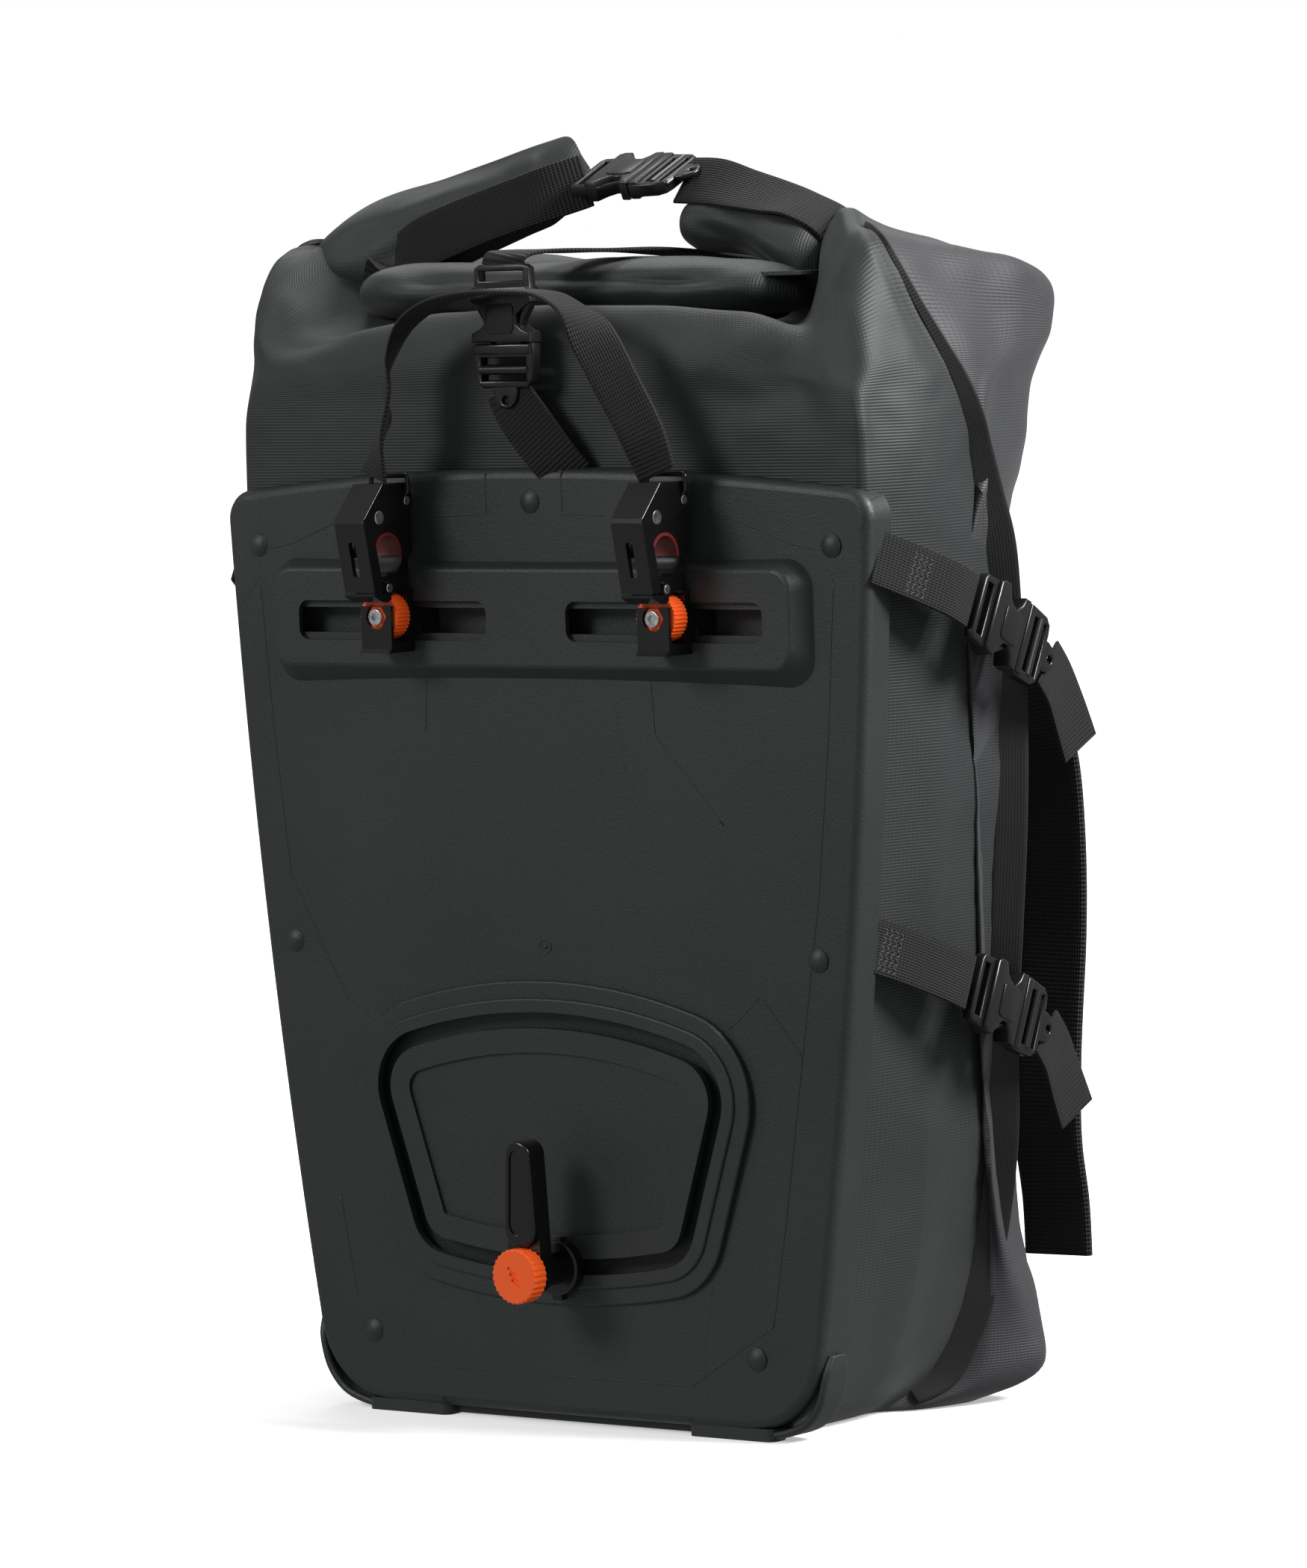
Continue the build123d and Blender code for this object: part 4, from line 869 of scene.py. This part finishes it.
# Several flat cuts as one mesh, set on the buckle's plane, with its doubles merged and faces out.
def assemble(name, parts, spot, material):
    joint, axis, normal = (np.array(v, float) for v in spot)
    axis, normal = axis / np.linalg.norm(axis), normal / np.linalg.norm(normal)
    turn = np.stack([axis, np.cross(normal, axis), normal])
    verts, faces, start = [], [], 0
    for points, cut in parts:
        verts.append(points @ turn + joint * mm)
        faces += [tuple(i + start for i in f) for f in cut]
        start += len(points)
    mesh = bpy.data.meshes.new(name)
    mesh.from_pydata(np.concatenate(verts).tolist(), [], faces)
    work = bmesh.new()
    work.from_mesh(mesh)
    bmesh.ops.remove_doubles(work, verts=work.verts, dist=2e-6)
    bmesh.ops.recalc_face_normals(work, faces=work.faces)
    work.to_mesh(mesh)
    work.free()
    mesh.polygons.foreach_set("use_smooth", np.ones(len(mesh.polygons), bool))
    mesh.set_sharp_from_angle(angle=math.radians(38))
    obj = bpy.data.objects.new(name, mesh)
    bpy.context.scene.collection.objects.link(obj)
    mesh.materials.append(material)
    return obj


mirroredArm = [(x, -y) for x, y in arm[::-1]]
for name, spot in buckleSpots.items():
    socket = [flatCut(*buckle[k]) for k in ("yoke", "shell", "boss")]
    prongs = [flatCut(*buckle[k]) for k in ("ladder", "lip", "tab")]
    prongs += [flatCut(outline, [], buckle["armThick"], 0) for outline in (arm, mirroredArm)]
    prongs += [roundBar(*bar) for bar in buckle["bars"]]
    place(assemble(name + "BuckleSocket", socket, spot, mats["buckle"]), "bag", [name + "_buckle_socket"],
          "buckle_plastic")
    place(assemble(name + "BuckleProngs", prongs, spot, mats["buckle"]), name + "_prongs",
          [name + "_buckle_prongs"], "buckle_plastic")
print("buckles made")


# Stitches: short domed threads between pairs of points, one mesh for each call
def stitchPiece(name, segments, radius, body):
    ends = np.asarray(segments, float)
    a, b = ends[:, 0], ends[:, 1]
    way = (b - a) / np.linalg.norm(b - a, axis=1, keepdims=True)
    side = np.cross(way, [0.31, 0.52, 0.79])
    side /= np.linalg.norm(side, axis=1, keepdims=True)
    out = np.cross(way, side)
    around = 6
    t = np.linspace(0, 2 * math.pi, around, endpoint=False)
    s = np.array([0.0, 0.12, 0.5, 0.88, 1.0])
    r = np.array([0.05, 0.8, 1.0, 0.8, 0.05]) * radius
    middle = a[:, None] + (b - a)[:, None] * s[None, :, None]
    ring = np.cos(t)[:, None] * side[:, None, None] + np.sin(t)[:, None] * out[:, None, None]
    verts = (middle[:, :, None] + ring * r[None, :, None, None]).reshape(-1, 3) * mm
    one = gridFaces(len(s), around, closeCols=True)
    faces = (one[None] + (np.arange(len(a)) * len(s) * around)[:, None, None]).reshape(-1, 4)
    place(meshPiece(name, verts, faces, mats["thread"]), body, (), "webbing")


# Zigzag rows: threads swing between two lines, row after row across the webbing.
def zigzag(origin, along, across, out, width, rows, pitch, step):
    origin, along, across, out = (np.array(v, float) for v in (origin, along, across, out))
    n = int(width / step)
    k = np.arange(n + 1)
    lines = []
    for row in range(rows):
        x = row * pitch + (k % 2) * pitch * 0.7
        dots = origin + np.outer(x, along) + np.outer(k * step - width / 2, across) + out
        lines += list(zip(dots[:-1], dots[1:]))
    return lines


zig = {"width": 20, "rows": 4, "pitch": 2.6, "step": 1.9}
for hand, side in ((1, "right"), (-1, "left")):
    upper = zigzag((hand * 178.6, -64, 368.6), (hand * 0.41, 0.8, -0.43), upperAcross, (hand, 0, 0), **zig)
    lower = zigzag((hand * 157.6, -64, 210.0), (hand * 0.42, 0.83, -0.37), lowerAcross, (hand, 0, 0), **zig)
    stitchPiece(side + "StrapStitches", upper + lower, 0.32, "bag")


# Fine moulded lines on the plate: a thin bead laid on its crowned face, y = -89 + x^2 / 5920
plateLines = {
    "paths": [[(17, 412.5), (17, 394), (39, 393)], [(-24, 411.5), (-24, 394), (-52, 392.6)],
              [(93, 396), (135, 381), (152, 378)], [(-93, 396), (-135, 381), (-152, 378)],
              [(155, 366), (150, 300), (143, 235), (132, 165), (121, 95), (113, 50)],
              [(-155, 366), (-150, 300), (-143, 235), (-112, 180), (-92, 168)],
              [(132, 165), (112, 190), (96, 176)], [(60, 334), (62, 300), (96, 262)],
              [(-60, 334), (-62, 300)],
              [(-121, 95), (-113, 50), (-70, 22), (70, 22), (113, 50)]],
    "width": 0.7, "height": 0.35, "face": -89.0, "crown": 5920, "sink": 0.02,
}


def plateLine(name, path, p):
    runs = [np.linspace(a, b, 14, endpoint=False) for a, b in zip(path[:-1], path[1:])]
    dense = np.concatenate(runs + [[path[-1]]])
    points = np.stack([dense[:, 0], p["face"] + dense[:, 0] ** 2 / p["crown"] - p["sink"], dense[:, 1]], -1)
    way = np.gradient(points, axis=0)
    across = np.cross(way, [0, 1, 0])
    return tape(name, points, across, p["width"], p["height"], mats["plate"], len(points))


for k, path in enumerate(plateLines["paths"]):
    place(plateLine("plateLine%02d" % k, np.array(path, float), plateLines), "bag", (), "plate_plastic")


# Ring and dot moulded into the middle of the plate: a profile turned about the plate's normal
def turned(name, centre, profile, material, n=48):
    prof = np.array(profile, float)
    t = np.linspace(0, 2 * math.pi, n, endpoint=False)
    grid = np.stack([centre[0] + prof[:, :1] * np.cos(t), centre[1] - prof[:, 1:] + 0 * t,
                     centre[2] + prof[:, :1] * np.sin(t)], -1)
    obj = meshPiece(name, grid.reshape(-1, 3) * mm, gridFaces(len(prof), n, closeCols=True), material)
    closePoles(obj)
    return obj


ring = {"centre": (0, -89, 208),
        "profile": [(3.4, -0.4), (3.4, 0.12), (3.1, 0.3), (2.7, 0.12), (2.7, -0.1), (1.1, -0.1), (1.1, 0.25),
                    (0.7, 0.5), (0.0, 0.55)]}
place(turned("plateRing", ring["centre"], ring["profile"], mats["plate"]), "bag", (), "plate_plastic")

# Corner bumpers: a flat moulded strip carried round the plate's lower corners
bumper = {"path": [(137.5, 38), (136.5, 30), (132.5, 17), (124, 7.5), (111, 3.0), (100, 2.4), (94, 3.4)],
          "widths": [10, 16, 17, 17, 17, 16, 10], "y": -76.0, "thick": 3.6}
for hand, side in ((1, "right"), (-1, "left")):
    path = [(hand * x, bumper["y"], z) for x, z in bumper["path"]]
    strip = tape(side + "CornerBumper", path, [(0, 1, 0)] * len(path), bumper["widths"], bumper["thick"],
                 mats["plate"])
    place(strip, "bag", (), "plate_plastic")

# Hem of the shoulder strap: three rows of stitches across it and two columns along it
hem = [((118 + k * 3.2, 99.6, z), (120 + k * 3.2, 99.6, z)) for k in range(9) for z in (62, 66, 84)]
hem += [((x, 99.6, 66 + i * 3.0), (x, 99.6, 68 + i * 3.0)) for x in (120, 146) for i in range(6)]
stitchPiece("shoulderStitches", hem, 0.35, "bag")
for node in ("left_strap_ring", "right_strap_ring"):
    nodes[node].data.materials[0] = mats["hook"]
nodes["plate_rivets"].data.materials[0] = mats["plate"]
print("details made")
